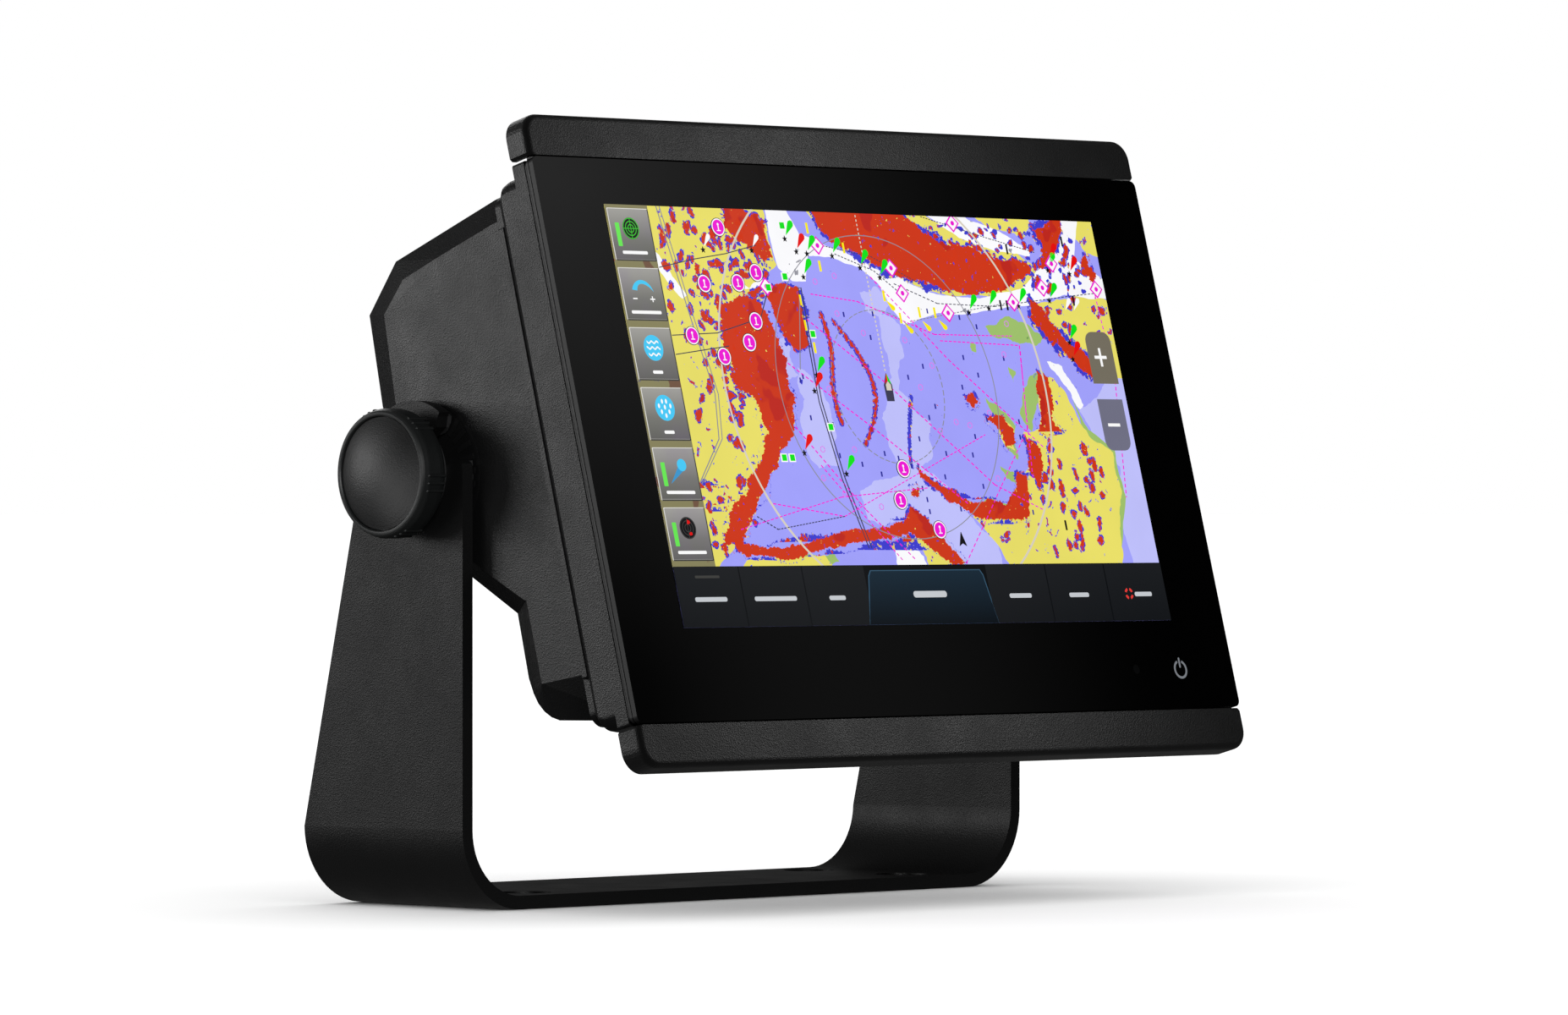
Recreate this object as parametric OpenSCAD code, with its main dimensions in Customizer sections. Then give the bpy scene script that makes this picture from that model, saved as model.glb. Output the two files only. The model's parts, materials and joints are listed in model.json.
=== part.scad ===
// Chartplotter display on a tilting bail bracket.
// Frame: origin on the mounting face, midway between the arms and straight
// below the tilt axis. +X to the viewer's right, +Y to the back, +Z up.
// The display is drawn in its own frame (origin on the tilt axis, y to its
// back, z up along its glass) and leaned back by tilt_rest.

/* [Display] */
// Width of the front glass
glass_w = 268.6; // [266:0.2:270]
// Lower edge of the glass, measured from the tilt axis
glass_bottom = -98.2; // [-98.6:0.1:-98]
// Upper edge of the glass, measured from the tilt axis
glass_top = 74.5; // [74.2:0.1:74.8]
// Distance from the tilt axis forward to the glass front
glass_front = 84.2; // [84.2:0.1:84.4]
// Corner radius of the glass
glass_r = 2.2; // [1:0.1:3]
// Lean of the display at rest, in degrees back from upright
tilt_rest = 15; // [0:1:20]

/* [Screen] */
// Left edge of the lit area
screen_left = -107.7; // [-108:0.1:-107]
// Right edge of the lit area
screen_right = 109.3; // [108:0.1:110]
// Lower edge of the lit area
screen_bottom = -69.9; // [-70:0.1:-69]
// Upper edge of the lit area
screen_top = 60.3; // [60:0.1:61]

/* [Trim caps] */
// Width of the clip-on trim caps
trim_w = 269.6; // [269:0.1:271]
// Height of a trim cap's front face
trim_h = 13; // [12.5:0.1:13.2]
// Depth of a trim cap, front to back
trim_d = 8.5; // [8:0.1:9]
// Gap between glass and trim cap
trim_gap = 0.5; // [0.4:0.1:0.8]
// Corner radius of a trim cap
trim_r = 6.5; // [5.5:0.5:8]
// Rounding of the front edge of the trim caps
trim_edge_r = 1.9; // [1:0.1:2.1]

/* [Bracket] */
// Outer width across the bracket arms
bracket_w = 248.1; // [248:0.1:249]
// Thickness of the bracket strip
bracket_t = 4.2; // [4:0.1:4.2]
// Depth of the bracket strip at its base
bracket_d = 69.9; // [66:0.1:72]
// Outer bend radius between base and arm
bend_r = 24.5; // [20:0.5:28]
// Height of the tilt axis above the mounting face
axis_z = 131.7; // [131:0.1:134]
// Radius of the rounded arm head
head_r = 22; // [20:0.5:23]
// Width of the open knob slot at its seat
slot_w = 9; // [8.5:0.1:9.5]
// Left-right spacing of the base holes
hole_dx = 168; // [160:1:172]
// Front-back spacing of the base holes
hole_dy = 41; // [38:1:42]
// Diameter of the base holes
hole_d = 6; // [5:0.1:6.5]
// Diameter of the shallow recess round each base hole
recess_d = 16.5; // [14:0.5:18]

/* [Rear casing] */
// Half width of the rear casing at its flat side
case_half_w = 117.4; // [117:0.1:117.5]
// Wall thickness of the rear casing
case_wall = 2.8; // [2.4:0.1:3]
// Half width of the casing flange
flange_half_w = 133.3; // [133:0.1:133.4]

/* [Knobs] */
// Radius of the knob body
knob_r = 19.6; // [18:0.1:21]
// Radius of the knob stud (8 mm thread)
stud_r = 4; // [4:0.1:4]
// Number of ratchet teeth round the tilt axis
teeth = 30; // [24:1:36]

/* [Hidden] */
$fn = 64;

// colours shared by several nodes
casing_black = [0.1, 0.1, 0.105];
connector_black = [0.04, 0.04, 0.04];
rubber = [0.03, 0.03, 0.03];
steel = [0.7, 0.7, 0.72];
screw_steel = [0.65, 0.65, 0.67];
silver = [0.75, 0.76, 0.78];
board_green = [0.05, 0.3, 0.15];
flex_amber = [0.75, 0.5, 0.15];
trim_black = [0.13, 0.13, 0.135];

// spans -----------------------------------------------------------------
// A span is [from, to] along one axis.
function both(half) = [-half, half];
function shrink(span, d) = span + [d, -d];
function grow(span, d) = span + [-d, d];

// helpers ---------------------------------------------------------------
// display frame
module display() translate([0, 0, axis_z]) rotate([-tilt_rest, 0, 0]) children();
// moves y = 0 from the tilt axis to the glass front
module behind_glass() translate([0, -glass_front, 0]) children();
module from_glass() display() behind_glass() children();
module on_left() mirror([1, 0, 0]) children();
module both_sides() {
  children();
  on_left() children();
}
// copies at [x, z] points
module place_at(points) for (p = points) translate([p[0], 0, p[1]]) children();

// In these, x, y and z are spans, or positions across a rod.
module box(x, y, z) translate([x[0], y[0], z[0]]) cube([x[1] - x[0], y[1] - y[0], z[1] - z[0]]);
module rod_x(x, y, z, r) translate([x[0], y, z]) rotate([0, 90, 0]) cylinder(h = x[1] - x[0], r = r);
module rod_y(x, y, z, r) translate([x, y[1], z]) rotate([90, 0, 0]) cylinder(h = y[1] - y[0], r = r);
module round_rect(x, z, r) union() {
  translate([x[0] + r, z[0]]) square([x[1] - x[0] - 2 * r, z[1] - z[0]]);
  translate([x[0], z[0] + r]) square([x[1] - x[0], z[1] - z[0] - 2 * r]);
  for (cx = shrink(x, r), cz = shrink(z, r)) translate([cx, cz]) circle(r);
}
// upright extrusion of an x-z shape
module extrude_y(y) translate([0, y[1], 0]) rotate([90, 0, 0]) linear_extrude(y[1] - y[0]) children();
module plate(x, y, z, r) extrude_y(y) round_rect(x, z, r);
// sideways extrusion of a y-z outline
module profile_x(x, outline)
  translate([x[0], 0, 0]) rotate([90, 0, 90]) linear_extrude(x[1] - x[0]) polygon(outline);

// bracket ---------------------------------------------------------------
arm_front = -head_r;
arm_back = arm_front + bracket_d; // at the base
arm_out = bracket_w / 2;
arm_in = arm_out - bracket_t;
shoulder_z = 24; // where the rear edge starts to slope
hole_y = 13; // centre of the hole pattern
recess_depth = 1.2;

// angle at which the sloped rear edge touches the head circle
shoulder_dist = norm([arm_back, shoulder_z - axis_z]);
tangent_a = atan2(shoulder_z - axis_z, arm_back) + acos(head_r / shoulder_dist);
arm_outline = [[arm_front, -1], [arm_front, axis_z], [0, axis_z + 1],
  [head_r * cos(tangent_a), axis_z + head_r * sin(tangent_a)],
  [arm_back, shoulder_z], [arm_back, -1]];

// slot outlines as y, z from the tilt axis
slot_throat = [[-1.66, -slot_w / 2 + 0.32], [arm_front - 8, 9.3], [-21, 22], [2.93, 3.41]];
jaw_ease = [[-24, 1.5], [-24, 9], [-17.6, 6.5], [-17.6, 3.6], [-20.4, 3.9]];
hook_ease = [[-10.6, 13.9], [-16, 12], [-24, 24], [-12.6, 19.6], [-11.2, 17.2]];

// open slot for the knob stud, widening towards its mouth
module slot(x) translate([0, 0, axis_z]) {
  rod_x(x, 0, 0, slot_w / 2);
  profile_x(x, slot_throat);
  // eased corners of the jaw and of the hook's nose
  profile_x(x, jaw_ease);
  profile_x(x, hook_ease);
}
module strip() extrude_y([arm_front, arm_back]) difference() {
  union() {
    round_rect(both(arm_out), [0, 120], bend_r);
    translate([-arm_out, 60]) square([2 * arm_out, 100]);
  }
  union() {
    round_rect(both(arm_in), [bracket_t, 120], bend_r - bracket_t);
    translate([-arm_in, 60]) square([2 * arm_in, 101]);
  }
}
module bracket() color([0.09, 0.09, 0.1]) difference() {
  union() {
    intersection() {
      strip();
      profile_x(both(arm_out + 1), arm_outline);
    }
    both_sides() rod_x([arm_in, arm_out], 0, axis_z, head_r);
  }
  both_sides() slot([arm_in - 1, arm_out + 1]);
  for (x = both(hole_dx / 2), y = [hole_y - hole_dy / 2, hole_y + hole_dy / 2]) {
    translate([x, y, -1]) cylinder(h = bracket_t + 2, d = hole_d);
    translate([x, y, bracket_t - recess_depth]) cylinder(h = 2, d = recess_d);
  }
}
module ratchet_teeth(x, phase) for (i = [0:teeth - 1])
  rotate([i * 360 / teeth + phase, 0, 0]) box(x, both(0.85), [14.6, 20.6]);
// toothed ring on the right arm's inner face, open at the slot
module ratchet_ring() color([0.16, 0.16, 0.17]) difference() {
  translate([0, 0, axis_z]) {
    difference() {
      rod_x([arm_in - 0.8, arm_in], 0, 0, 21);
      rod_x([arm_in - 2, arm_in + 1], 0, 0, 14);
    }
    rotate([-tilt_rest, 0, 0]) ratchet_teeth([arm_in - 1.6, arm_in - 0.7], 0);
  }
  slot([arm_in - 3, arm_in + 3]);
}
module left_ratchet_ring() on_left() ratchet_ring();
module right_ratchet_ring() ratchet_ring();

// front stack: depths from here on are behind the glass front ------------
glass_x = both(glass_w / 2);
glass_z = [glass_bottom, glass_top];
glass_back = 1.7;
adhesive_back = 2;
bezel_back = 4.3;
frame_front = 4.7;
frame_back = 9.6;
housing_back = 17.9;
gasket_back = 18.4;
flange_back = 21.4;

// opening behind the glass, a border wider than the lit area
window_border = 4.7;
window_x = grow([screen_left, screen_right], window_border);
window_z = grow([screen_bottom, screen_top], window_border);
panel_gap = 0.8; // window to LCD and backlight
bump_x = both(60); // raised patch on the backlight's rear
bump_z = [-66, -52];
pipe_x = 88.6; // light pipe
pipe_z = -85.5;

module window(back) box(window_x, [0, back], window_z);
module pipe_hole(back) rod_y(pipe_x, [0, back], pipe_z, 1.6);

module front_glass() color([0.02, 0.02, 0.025]) from_glass()
  plate(glass_x, [0, glass_back], glass_z, glass_r);
module glass_adhesive() color([0.05, 0.05, 0.05]) from_glass() difference() {
  plate(shrink(glass_x, 0.6), [glass_back, adhesive_back], shrink(glass_z, 0.6), 1.8);
  window(4);
  pipe_hole(4);
}
module touch_sensor() color([0.55, 0.65, 0.68]) from_glass()
  plate(shrink(window_x, 0.2), [glass_back + 0.02, 2.5], shrink(window_z, 0.2), 1);
module lcd_panel() color([0.45, 0.55, 0.75]) from_glass()
  plate(shrink(window_x, panel_gap), [2.6, 4.4], shrink(window_z, panel_gap), 0.8);
module backlight_module() color(silver) from_glass() {
  plate(shrink(window_x, panel_gap), [4.5, 10.2], shrink(window_z, panel_gap), 1);
  box(bump_x, [10, 10.5], bump_z);
}
module front_bezel() color([0.05, 0.05, 0.055]) from_glass() difference() {
  union() {
    plate(glass_x, [adhesive_back, 2.9], glass_z, glass_r);
    plate(shrink(glass_x, 1.3), [2.9, bezel_back], shrink(glass_z, 0.9), glass_r);
    plate(shrink(glass_x, 0.5), [3.5, 3.9], shrink(glass_z, 0.4), glass_r);
  }
  window(6);
  pipe_hole(6);
}
module bezel_gasket() color(rubber) from_glass() difference() {
  plate(shrink(glass_x, 2.4), [bezel_back, frame_front], shrink(glass_z, 2.4), 2);
  plate(shrink(glass_x, 5.4), [4, 5], shrink(glass_z, 5.4), 1);
}

// frame and housings ----------------------------------------------------
rail_back = 7.3;
rails_z = [[74, 84.4], [-108.6, -97.8]]; // top rail, bottom rail
rail_webs_z = [[70, 76], [-100, -94]]; // join each rail to the frame
clip_windows_z = [[80.4, 82.4], [-106.6, -104.6]];
clips_x = [-90, -30, 30, 90];
flush_hole_x = 124;
flange_x = both(flange_half_w);
opening_z = [-88, 62]; // large opening through both housings
screw_r = 1.3;
bore_r = 1.35;
clearance_r = 1.7;
housing_screw_spots = [for (x = both(123.5), z = [56, 34, -44, -84]) [x, z]];
chassis_screw_spots = [for (x = both(120), z = [-60, 0, 46]) [x, z]];

module mid_frame() color([0.07, 0.07, 0.075]) from_glass() difference() {
  union() {
    plate(shrink(glass_x, 0.9), [frame_front, frame_back], shrink(glass_z, 0.1), 1);
    // rails that carry the trim caps and the flush-mount holes
    for (z = rails_z) plate(both(129), [bezel_back, rail_back], z, 1.5);
    for (z = rail_webs_z) box(both(120), [frame_front, rail_back], z);
  }
  window(12);
  for (x = both(flush_hole_x), z = rails_z) rod_y(x, [0, 10], (z[0] + z[1]) / 2, 2.1);
  // seat of the touch-key board
  box([78, 116], [4, 8.2], [-95, -77]);
  place_at(chassis_screw_spots) rod_y(0, [6.5, 11], 0, bore_r);
  // windows along the rails, one for each trim clip
  for (x = clips_x, z = clip_windows_z) box([x - 5, x + 5], [4, 8], z);
}
module middle_housing() color(casing_black) from_glass() difference() {
  hull() {
    plate(flange_x, [frame_back, 14.5], [-97.6, 71.3], 5);
    plate(flange_x, [14, 16.6], [-96.8, 70.8], 5);
    plate(shrink(flange_x, 0.5), [16.6, housing_back], [-95.4, 69.4], 5);
  }
  plate(shrink(flange_x, 3.2), [9, 15.2], [-93.8, 66.2], 4);
  plate(both(112), [9, 21], opening_z, 8);
  place_at(housing_screw_spots) rod_y(0, [8, 21], 0, bore_r);
}
module housing_gasket() color([0.02, 0.02, 0.02]) from_glass() difference() {
  plate(shrink(flange_x, 0.9), [housing_back, gasket_back], [-94.9, 68.9], 4.8);
  plate(both(114), [17, 19], opening_z, 6);
  place_at(housing_screw_spots) rod_y(0, [17, 19], 0, clearance_r);
}

// rear casing: depths here are from the tilt axis -------------------------
// Side outlines as y, z, going round clockwise.
case_upper = [[-64, 73.6], [-46, 72.7], [0.5, 66.9], [16, 54.3], [17.5, 26], [17.5, -10.8],
  [-23.4, -49.8], [-64, -49.8]];
// lower bulge, with a low rib and a rounded lower rear edge
case_lower = concat([[-64, -28], [-23.7, -28], [-23.7, -66], [-22.9, -69.6]],
  [for (a = [-12:-14:-68]) [-38 + 14.6 * cos(a), -71.5 + 14.6 * sin(a)]],
  [[-46.3, -88.5], [-64, -92.2]]);
// flat side faces, inside their bevelled borders
face_upper = [[-64, 65.8], [-46, 64.9], [-3.8, 59.9], [7, 51.8], [9, 24], [9, -12.5],
  [-30.6, -47.5], [-64, -47.5]];
face_lower = [[-64, -36], [-31.3, -36], [-31.3, -73.4], [-48, -75], [-64, -76]];

case_back = 17.5;
cavity_x = both(111.4);
boss_r = 22.5;
insert_r = 7;
door_x = [38, 90]; // pocket for the card door
door_z = [18, 42];
hinge_y = 16;
hinge_z = door_z[0] + 1.6;
vent_x = -60;
vent_z = 30;

// sloped connector panel between two corners of the upper outline
panel_top = case_upper[5];
panel_bottom = case_upper[6];
panel_mid = (panel_top + panel_bottom) / 2;
panel_a = atan2(panel_top[1] - panel_bottom[1], panel_top[0] - panel_bottom[0]);
// panel frame: origin mid-panel, local -z points out of the panel
module on_panel() translate([0, panel_mid[0], panel_mid[1]]) rotate([panel_a, 0, 0]) children();

// Connectors: x, shell radius, angles of the keys inside the shell.
connectors = [
  [-62, 9, [90]], // power
  [-26, 8, [90, 270]], // data
  [12, 10, [30]], // network
  [50, 10, [30]], // network
  [84, 9, [180]], // video
];

// inward offset of a clockwise outline by d
function unit(v) = v / norm(v);
function inward(a, b) = let (u = unit(b - a)) [u[1], -u[0]];
function inset(outline, d) = let (n = len(outline)) [for (i = [0:n - 1])
  let (here = outline[i],
    n1 = inward(outline[(i + n - 1) % n], here),
    n2 = inward(here, outline[(i + 1) % n]))
  here + d * (n1 + n2) / (1 + n1 * n2)];
// moves the front edge forward, so that the cavity opens to the front
function open_front(outline) = [for (p = outline) [p[0] - (p[0] < -60 ? 4 : 0), p[1]]];
// moves the top edge up, so that the lower cavity runs into the upper one
function open_top(outline) = [for (p = outline) [p[0], p[1] + (p[1] > -30 ? 20 : 0)]];

module case_solid(outline, face) hull() {
  profile_x(both(case_half_w - 3.4), outline);
  intersection() {
    profile_x(both(case_half_w - 0.7), face);
    box(both(130), [-12, 30], both(120));
  }
  intersection() {
    profile_x(both(case_half_w), face);
    box(both(130), [-80, -20], both(120));
  }
}
module case_shell() difference() {
  union() {
    case_solid(case_upper, face_upper);
    case_solid(case_lower, face_lower);
  }
  profile_x(cavity_x, inset(open_front(case_upper), case_wall));
  profile_x(cavity_x, inset(open_top(open_front(case_lower)), case_wall));
}
// flange, with a slightly prouder stretch along each side
module case_flange() behind_glass() difference() {
  union() {
    plate(shrink(flange_x, 1.6), [gasket_back, flange_back], [-94.4, 68.4], 4.5);
    plate(shrink(flange_x, 0.3), [gasket_back, 20.4], [-80, 58], 0.6);
  }
  plate(cavity_x, [18, 24], opening_z, 8);
}
// right pivot boss, with a raised rim and a ring of teeth
module pivot_boss() {
  rod_x([100, 116.7], 0, 0, boss_r);
  difference() {
    rod_x([116, 117.5], 0, 0, boss_r);
    rod_x([116, 118], 0, 0, boss_r - 1.2);
  }
  ratchet_teeth([116.5, 117.6], 180 / teeth);
}
module rear_housing() color(casing_black) display() difference() {
  union() {
    case_shell();
    case_flange();
    both_sides() pivot_boss();
    // thickened wall behind the card door
    box(grow(door_x, 3), [10.6, 16], grow(door_z, 3));
    // aerial posts
    for (x = [-64, -32]) translate([x, -32, 60.9]) cylinder(h = 8, r = 2.5);
  }
  both_sides() rod_x([99, 118], 0, 0, insert_r + 0.02);
  for (c = connectors) on_panel() translate([c[0], 0, -8]) cylinder(h = 16, r = c[1] + 0.1);
  behind_glass() place_at(housing_screw_spots) rod_y(0, [18, 25], 0, clearance_r);
  // card door pocket, opening and pin holes
  box(door_x, [13.6, 18], door_z);
  plate(shrink(door_x, 9), [8, 15], door_z + [6, -5], 2);
  rod_x(grow(door_x, 2), hinge_y, hinge_z, 0.8);
  // vent
  rod_y(vent_x, [10, 18], vent_z, 5.1);
  // shallow cooling grooves across the upper back
  for (i = [0:5]) plate([-40, 20], [16.7, 18], [8 + i * 6, 10 + i * 6], 0.9);
}
// flanged sleeve in the right pivot boss
module pivot_insert() color([0.78, 0.62, 0.3]) display() difference() {
  union() {
    rod_x([99.5, 116.6], 0, 0, insert_r);
    rod_x([98.4, 99.95], 0, 0, insert_r + 2);
  }
  rod_x([98, 118], 0, 0, stud_r + 0.05);
}
module left_pivot_insert() on_left() pivot_insert();
module right_pivot_insert() pivot_insert();

// inside: depths behind the glass front -----------------------------------
chassis_y = [10.8, 12.2];
board_y = [24.05, 25.65]; // main and power boards
part_y = 25.6; // front of the parts on the boards, just inside the board
main_posts = [[-98, 50], [-98, -30], [58, 50], [58, -30]]; // x, z
power_posts = [[-90, -52], [70, -52], [-90, -76], [70, -76]];
posts = concat(main_posts, power_posts);
flex_x = [-24, 14]; // display flex

// Blocks on a board's back: x span, rear y, z span.
main_blocks = [[[-22, 12], 30, [-34, -27]], [[-60, -36], 33, [40, 52]], [[36, 58], 31, [-26, -12]]];
power_blocks = [[[-36, -12], 36, [-74, -52]], [[0, 22], 34, [-70, -54]], [[30, 44], 30, [-80, -72]]];
// centres of the square low blocks on the main board, x, z
chips = [[-84, 20], [-84, -4], [20, 30], [20, 6], [42, 30], [42, 6]];

module blocks(table) for (b = table) box(b[0], [part_y, b[1]], b[2]);
module board_holes(spots) place_at(spots) rod_y(0, [23, 27], 0, 1.6);

module chassis_plate() color([0.72, 0.73, 0.75]) from_glass() difference() {
  union() {
    plate(both(126), chassis_y, [-92, 64], 3);
    place_at(posts) rod_y(0, [12.1, 24], 0, 3);
  }
  place_at(posts) rod_y(0, [15, 25], 0, bore_r);
  place_at(chassis_screw_spots) rod_y(0, [10, 13], 0, clearance_r);
  // pass for the display flex, and relief over the backlight's raised patch
  box(grow(flex_x, 2), [10, 13], [-46, -41]);
  box(grow(bump_x, 1), [9.6, 11.4], grow(bump_z, 1));
}
module main_board() color(board_green) from_glass() difference() {
  union() {
    plate([-104, 64], board_y, [-36, 56], 2);
    // block on the board's front, against the processor pad
    box([-40, -10], [22, 24.1], [4, 34]);
    place_at(chips) box(both(7), [part_y, 27], both(7));
    blocks(main_blocks);
    for (x = [-64, -52, -2]) rod_y(x, [part_y, 34], -12, 4);
  }
  board_holes(main_posts);
}
module processor_pad() color([0.7, 0.7, 0.75]) from_glass() box([-38, -12], [21, 21.98], [6, 32]);
module heat_spreader() color(silver) from_glass() union() {
  box([-44, -6], [17, 20.98], [0, 38]);
  // fins
  for (x = [-42, -32, -22, -12]) box([x, x + 4], [12.25, 17.1], [0, 38]);
}
module power_board() color(board_green) from_glass() difference() {
  union() {
    plate([-96, 76], board_y, [-82, -46], 2);
    for (x = [-80, -66, -52]) rod_y(x, [part_y, 40], -58, 6);
    blocks(power_blocks);
  }
  board_holes(power_posts);
}
module beeper() color([0.08, 0.08, 0.08]) from_glass() difference() {
  rod_y(56, [board_y[1] + 0.02, 33], -62, 6.5);
  rod_y(56, [30, 34], -62, 1.2);
}
// y measured from the tilt axis
module gps_antenna() color([0.75, 0.7, 0.6]) display() union() {
  box([-68, -28], [-50, -16], [59.6, 60.88]);
  box([-60, -36], [-45, -21], [55.6, 59.7]);
}
module key_board() color(board_green) from_glass() union() {
  box([79, 115], [4.75, 5.9], [-94, -78]);
  box([84, 90], [5.8, 7.4], [-90, -84]);
}
module light_pipe() color([0.85, 0.88, 0.9]) from_glass()
  rod_y(pipe_x, [glass_back + 0.05, frame_front], pipe_z, 1.3);
// runs up behind the backlight, back through the chassis, then up to the main board
module display_flex() color(flex_amber) from_glass() union() {
  box(flex_x, [10.55, 10.75], [-60, -43.2]);
  box(flex_x, [10.55, 28], [-43.5, -43.2]);
  box(flex_x, [27.8, 28], [-43.5, -35]);
}
module connector_board() color(board_green) display() on_panel() difference() {
  box([-78, 99], both(13), [15.2, 16.8]);
  for (c = connectors, dx = both(12.5)) translate([c[0] + dx, 10, 14]) cylinder(h = 4, r = 1.2);
}
module connector_flex() color(flex_amber) from_glass() union() {
  box([38, 56], [31.05, 54], [-20.2, -20]);
  box([38, 56], [53.8, 54], [-20.2, -9]);
}

// connectors on the sloped lower back ------------------------------------
pin_z = -11; // outer end of the pins
pin_h = 6.98;
// Rings of pins: connector index, number of pins, first angle, ring radius, pin radius.
pin_rings = [[0, 4, 45, 3.4, 0.8], [1, 5, 0, 2.8, 0.6], [2, 8, 0, 4, 0.6], [3, 8, 0, 4, 0.6]];

module connector(index) color(connector_black) display() on_panel() {
  r = connectors[index][1];
  translate([connectors[index][0], 0, 0]) difference() {
    union() {
      translate([0, 0, -3]) cylinder(h = 2, r = r + 3.2);
      translate([0, 0, -14]) cylinder(h = 29, r = r);
    }
    // socket, less its keys
    difference() {
      translate([0, 0, -15]) cylinder(h = 11, r = r - 1.6);
      for (a = connectors[index][2]) rotate([0, 0, a]) box([r - 3, r], both(1), [-14, -3]);
    }
  }
}
module power_connector() connector(0);
module data_connector() connector(1);
module network_connectors() {
  connector(2);
  connector(3);
}
module video_connector() connector(4);
module connector_pins() color([0.85, 0.7, 0.3]) display() on_panel() {
  for (ring = pin_rings, k = [0:ring[1] - 1])
    translate([connectors[ring[0]][0], 0, 0]) rotate([0, 0, ring[2] + k * 360 / ring[1]])
      translate([ring[3], 0, pin_z]) cylinder(h = pin_h, r = ring[4]);
  // two rows of four in the video connector
  for (k = [-1.5:1:1.5], y = both(1.6))
    translate([connectors[4][0] + 2 * k, y, pin_z]) cylinder(h = pin_h, r = 0.5);
}
module connector_nuts() color(steel) display() on_panel()
  for (c = connectors) translate([c[0], 0, 3.4]) difference() {
    cylinder(h = 4, r = c[1] + 3.4, $fn = 6);
    translate([0, 0, -1]) cylinder(h = 6, r = c[1] + 0.05);
  }
module connector_seals() color(rubber) display() on_panel()
  for (c = connectors) translate([c[0], 0, -0.98]) difference() {
    cylinder(h = 0.96, r = c[1] + 2.6);
    translate([0, 0, -1]) cylinder(h = 3, r = c[1] + 0.05);
  }

// card door and vent: depths from the tilt axis ----------------------------
leaf_x = shrink(door_x, 0.3);
leaf_y = [14.5, case_back];

module card_reader() color([0.65, 0.66, 0.68]) display() difference() {
  box(shrink(door_x, 8), [-14, 10.4], door_z + [5, -4]);
  // two card slots
  for (z = [door_z[0] + 9, door_z[0] + 15]) box(shrink(door_x, 18), [-6, 11], [z, z + 1.4]);
}
module card_door() color([0.08, 0.08, 0.085]) display() difference() {
  union() {
    plate(leaf_x, leaf_y, [hinge_z, door_z[1] - 0.3], 1.4);
    box(leaf_x, leaf_y, [hinge_z, door_z[0] + 6]);
    rod_x(leaf_x, hinge_y, hinge_z, 1.5);
  }
  rod_x(grow(door_x, 1), hinge_y, hinge_z, 0.85);
  // finger notch in the free edge
  rod_y((door_x[0] + door_x[1]) / 2, [16.4, 19], door_z[1] + 2, 6);
}
module card_door_pin() color(steel) display() rod_x(grow(door_x, 1.9), hinge_y, hinge_z, 0.79);
module card_door_gasket() color(rubber) display() difference() {
  plate(shrink(door_x, 6), [13.62, 14.4], door_z + [4.4, -2.6], 3);
  plate(shrink(door_x, 8), [13, 15], door_z + [5.6, -4.2], 2);
}
module vent_plug() color([0.12, 0.12, 0.12]) display() translate([vent_x, 0, vent_z]) difference() {
  union() {
    rod_y(0, [12.6, case_back], 0, 5);
    rod_y(0, [case_back + 0.02, 18.8], 0, 7);
    rod_y(0, [17.4, 17.6], 0, 5);
  }
  for (k = [0:5]) rotate([0, 60 * k, 0]) rod_y(0, [18, 20], 4.6, 0.7);
}

// fasteners: depths behind the glass front ---------------------------------
// screw from its tip to the seat of its head, with a hex socket
module screw(tip, seat, top_r, top_h) difference() {
  union() {
    rod_y(0, [tip, seat + 0.4], 0, screw_r);
    rod_y(0, [seat, seat + top_h], 0, top_r);
  }
  translate([0, seat + top_h + 0.1, 0]) rotate([90, 0, 0])
    cylinder(h = 1.2, r = top_r * 0.45, $fn = 6);
}
module housing_screws() color(screw_steel) from_glass()
  place_at(housing_screw_spots) screw(tip = 13, seat = flange_back, top_r = 3, top_h = 2);
module chassis_screws() color(screw_steel) from_glass()
  place_at(chassis_screw_spots) screw(tip = 7, seat = chassis_y[1], top_r = 2.8, top_h = 1.6);
module board_screws() color(screw_steel) from_glass()
  place_at(posts) screw(tip = 18, seat = board_y[1], top_r = 2.6, top_h = 1.6);

// trim caps --------------------------------------------------------------
// front outline of a cap, drawn in by d, with rounded outer corners
module cap_slice(d) {
  half = trim_w / 2 - d;
  corner_x = trim_w / 2 - trim_r;
  corner_z = trim_h - trim_r;
  arc_r = trim_r - d;
  polygon(concat([[-half + 0.8, 0], [-half, 0.8]],
    [for (a = [180:-10:90]) [-corner_x + arc_r * cos(a), corner_z + arc_r * sin(a)]],
    [for (a = [90:-10:0]) [corner_x + arc_r * cos(a), corner_z + arc_r * sin(a)]],
    [[half, 0.8], [half - 0.8, 0]]));
}
// top cap, z measured from its edge next to the glass
module trim_cap() {
  difference() {
    // body with a rounded front edge
    hull() for (i = [0:6])
      let (front = trim_edge_r * (1 - sin(15 * i)), back = i == 0 ? trim_d : front + 0.02)
        extrude_y([front, back]) cap_slice(trim_edge_r * (1 - cos(15 * i)));
    // channel that takes the rail of the mid frame
    plate(both(trim_w / 2 - 2.4), [2.2, trim_d + 1], [-4, trim_h - 2], 5);
  }
  // clips
  for (x = clips_x) box([x - 4, x + 4], [2.1, 3.9], [4.5, 6]);
}
module top_trim() color(trim_black) from_glass()
  translate([0, 0, glass_top + trim_gap]) trim_cap();
module bottom_trim() color(trim_black) from_glass()
  translate([0, 0, glass_bottom - trim_gap]) mirror([0, 0, 1]) trim_cap();

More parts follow.
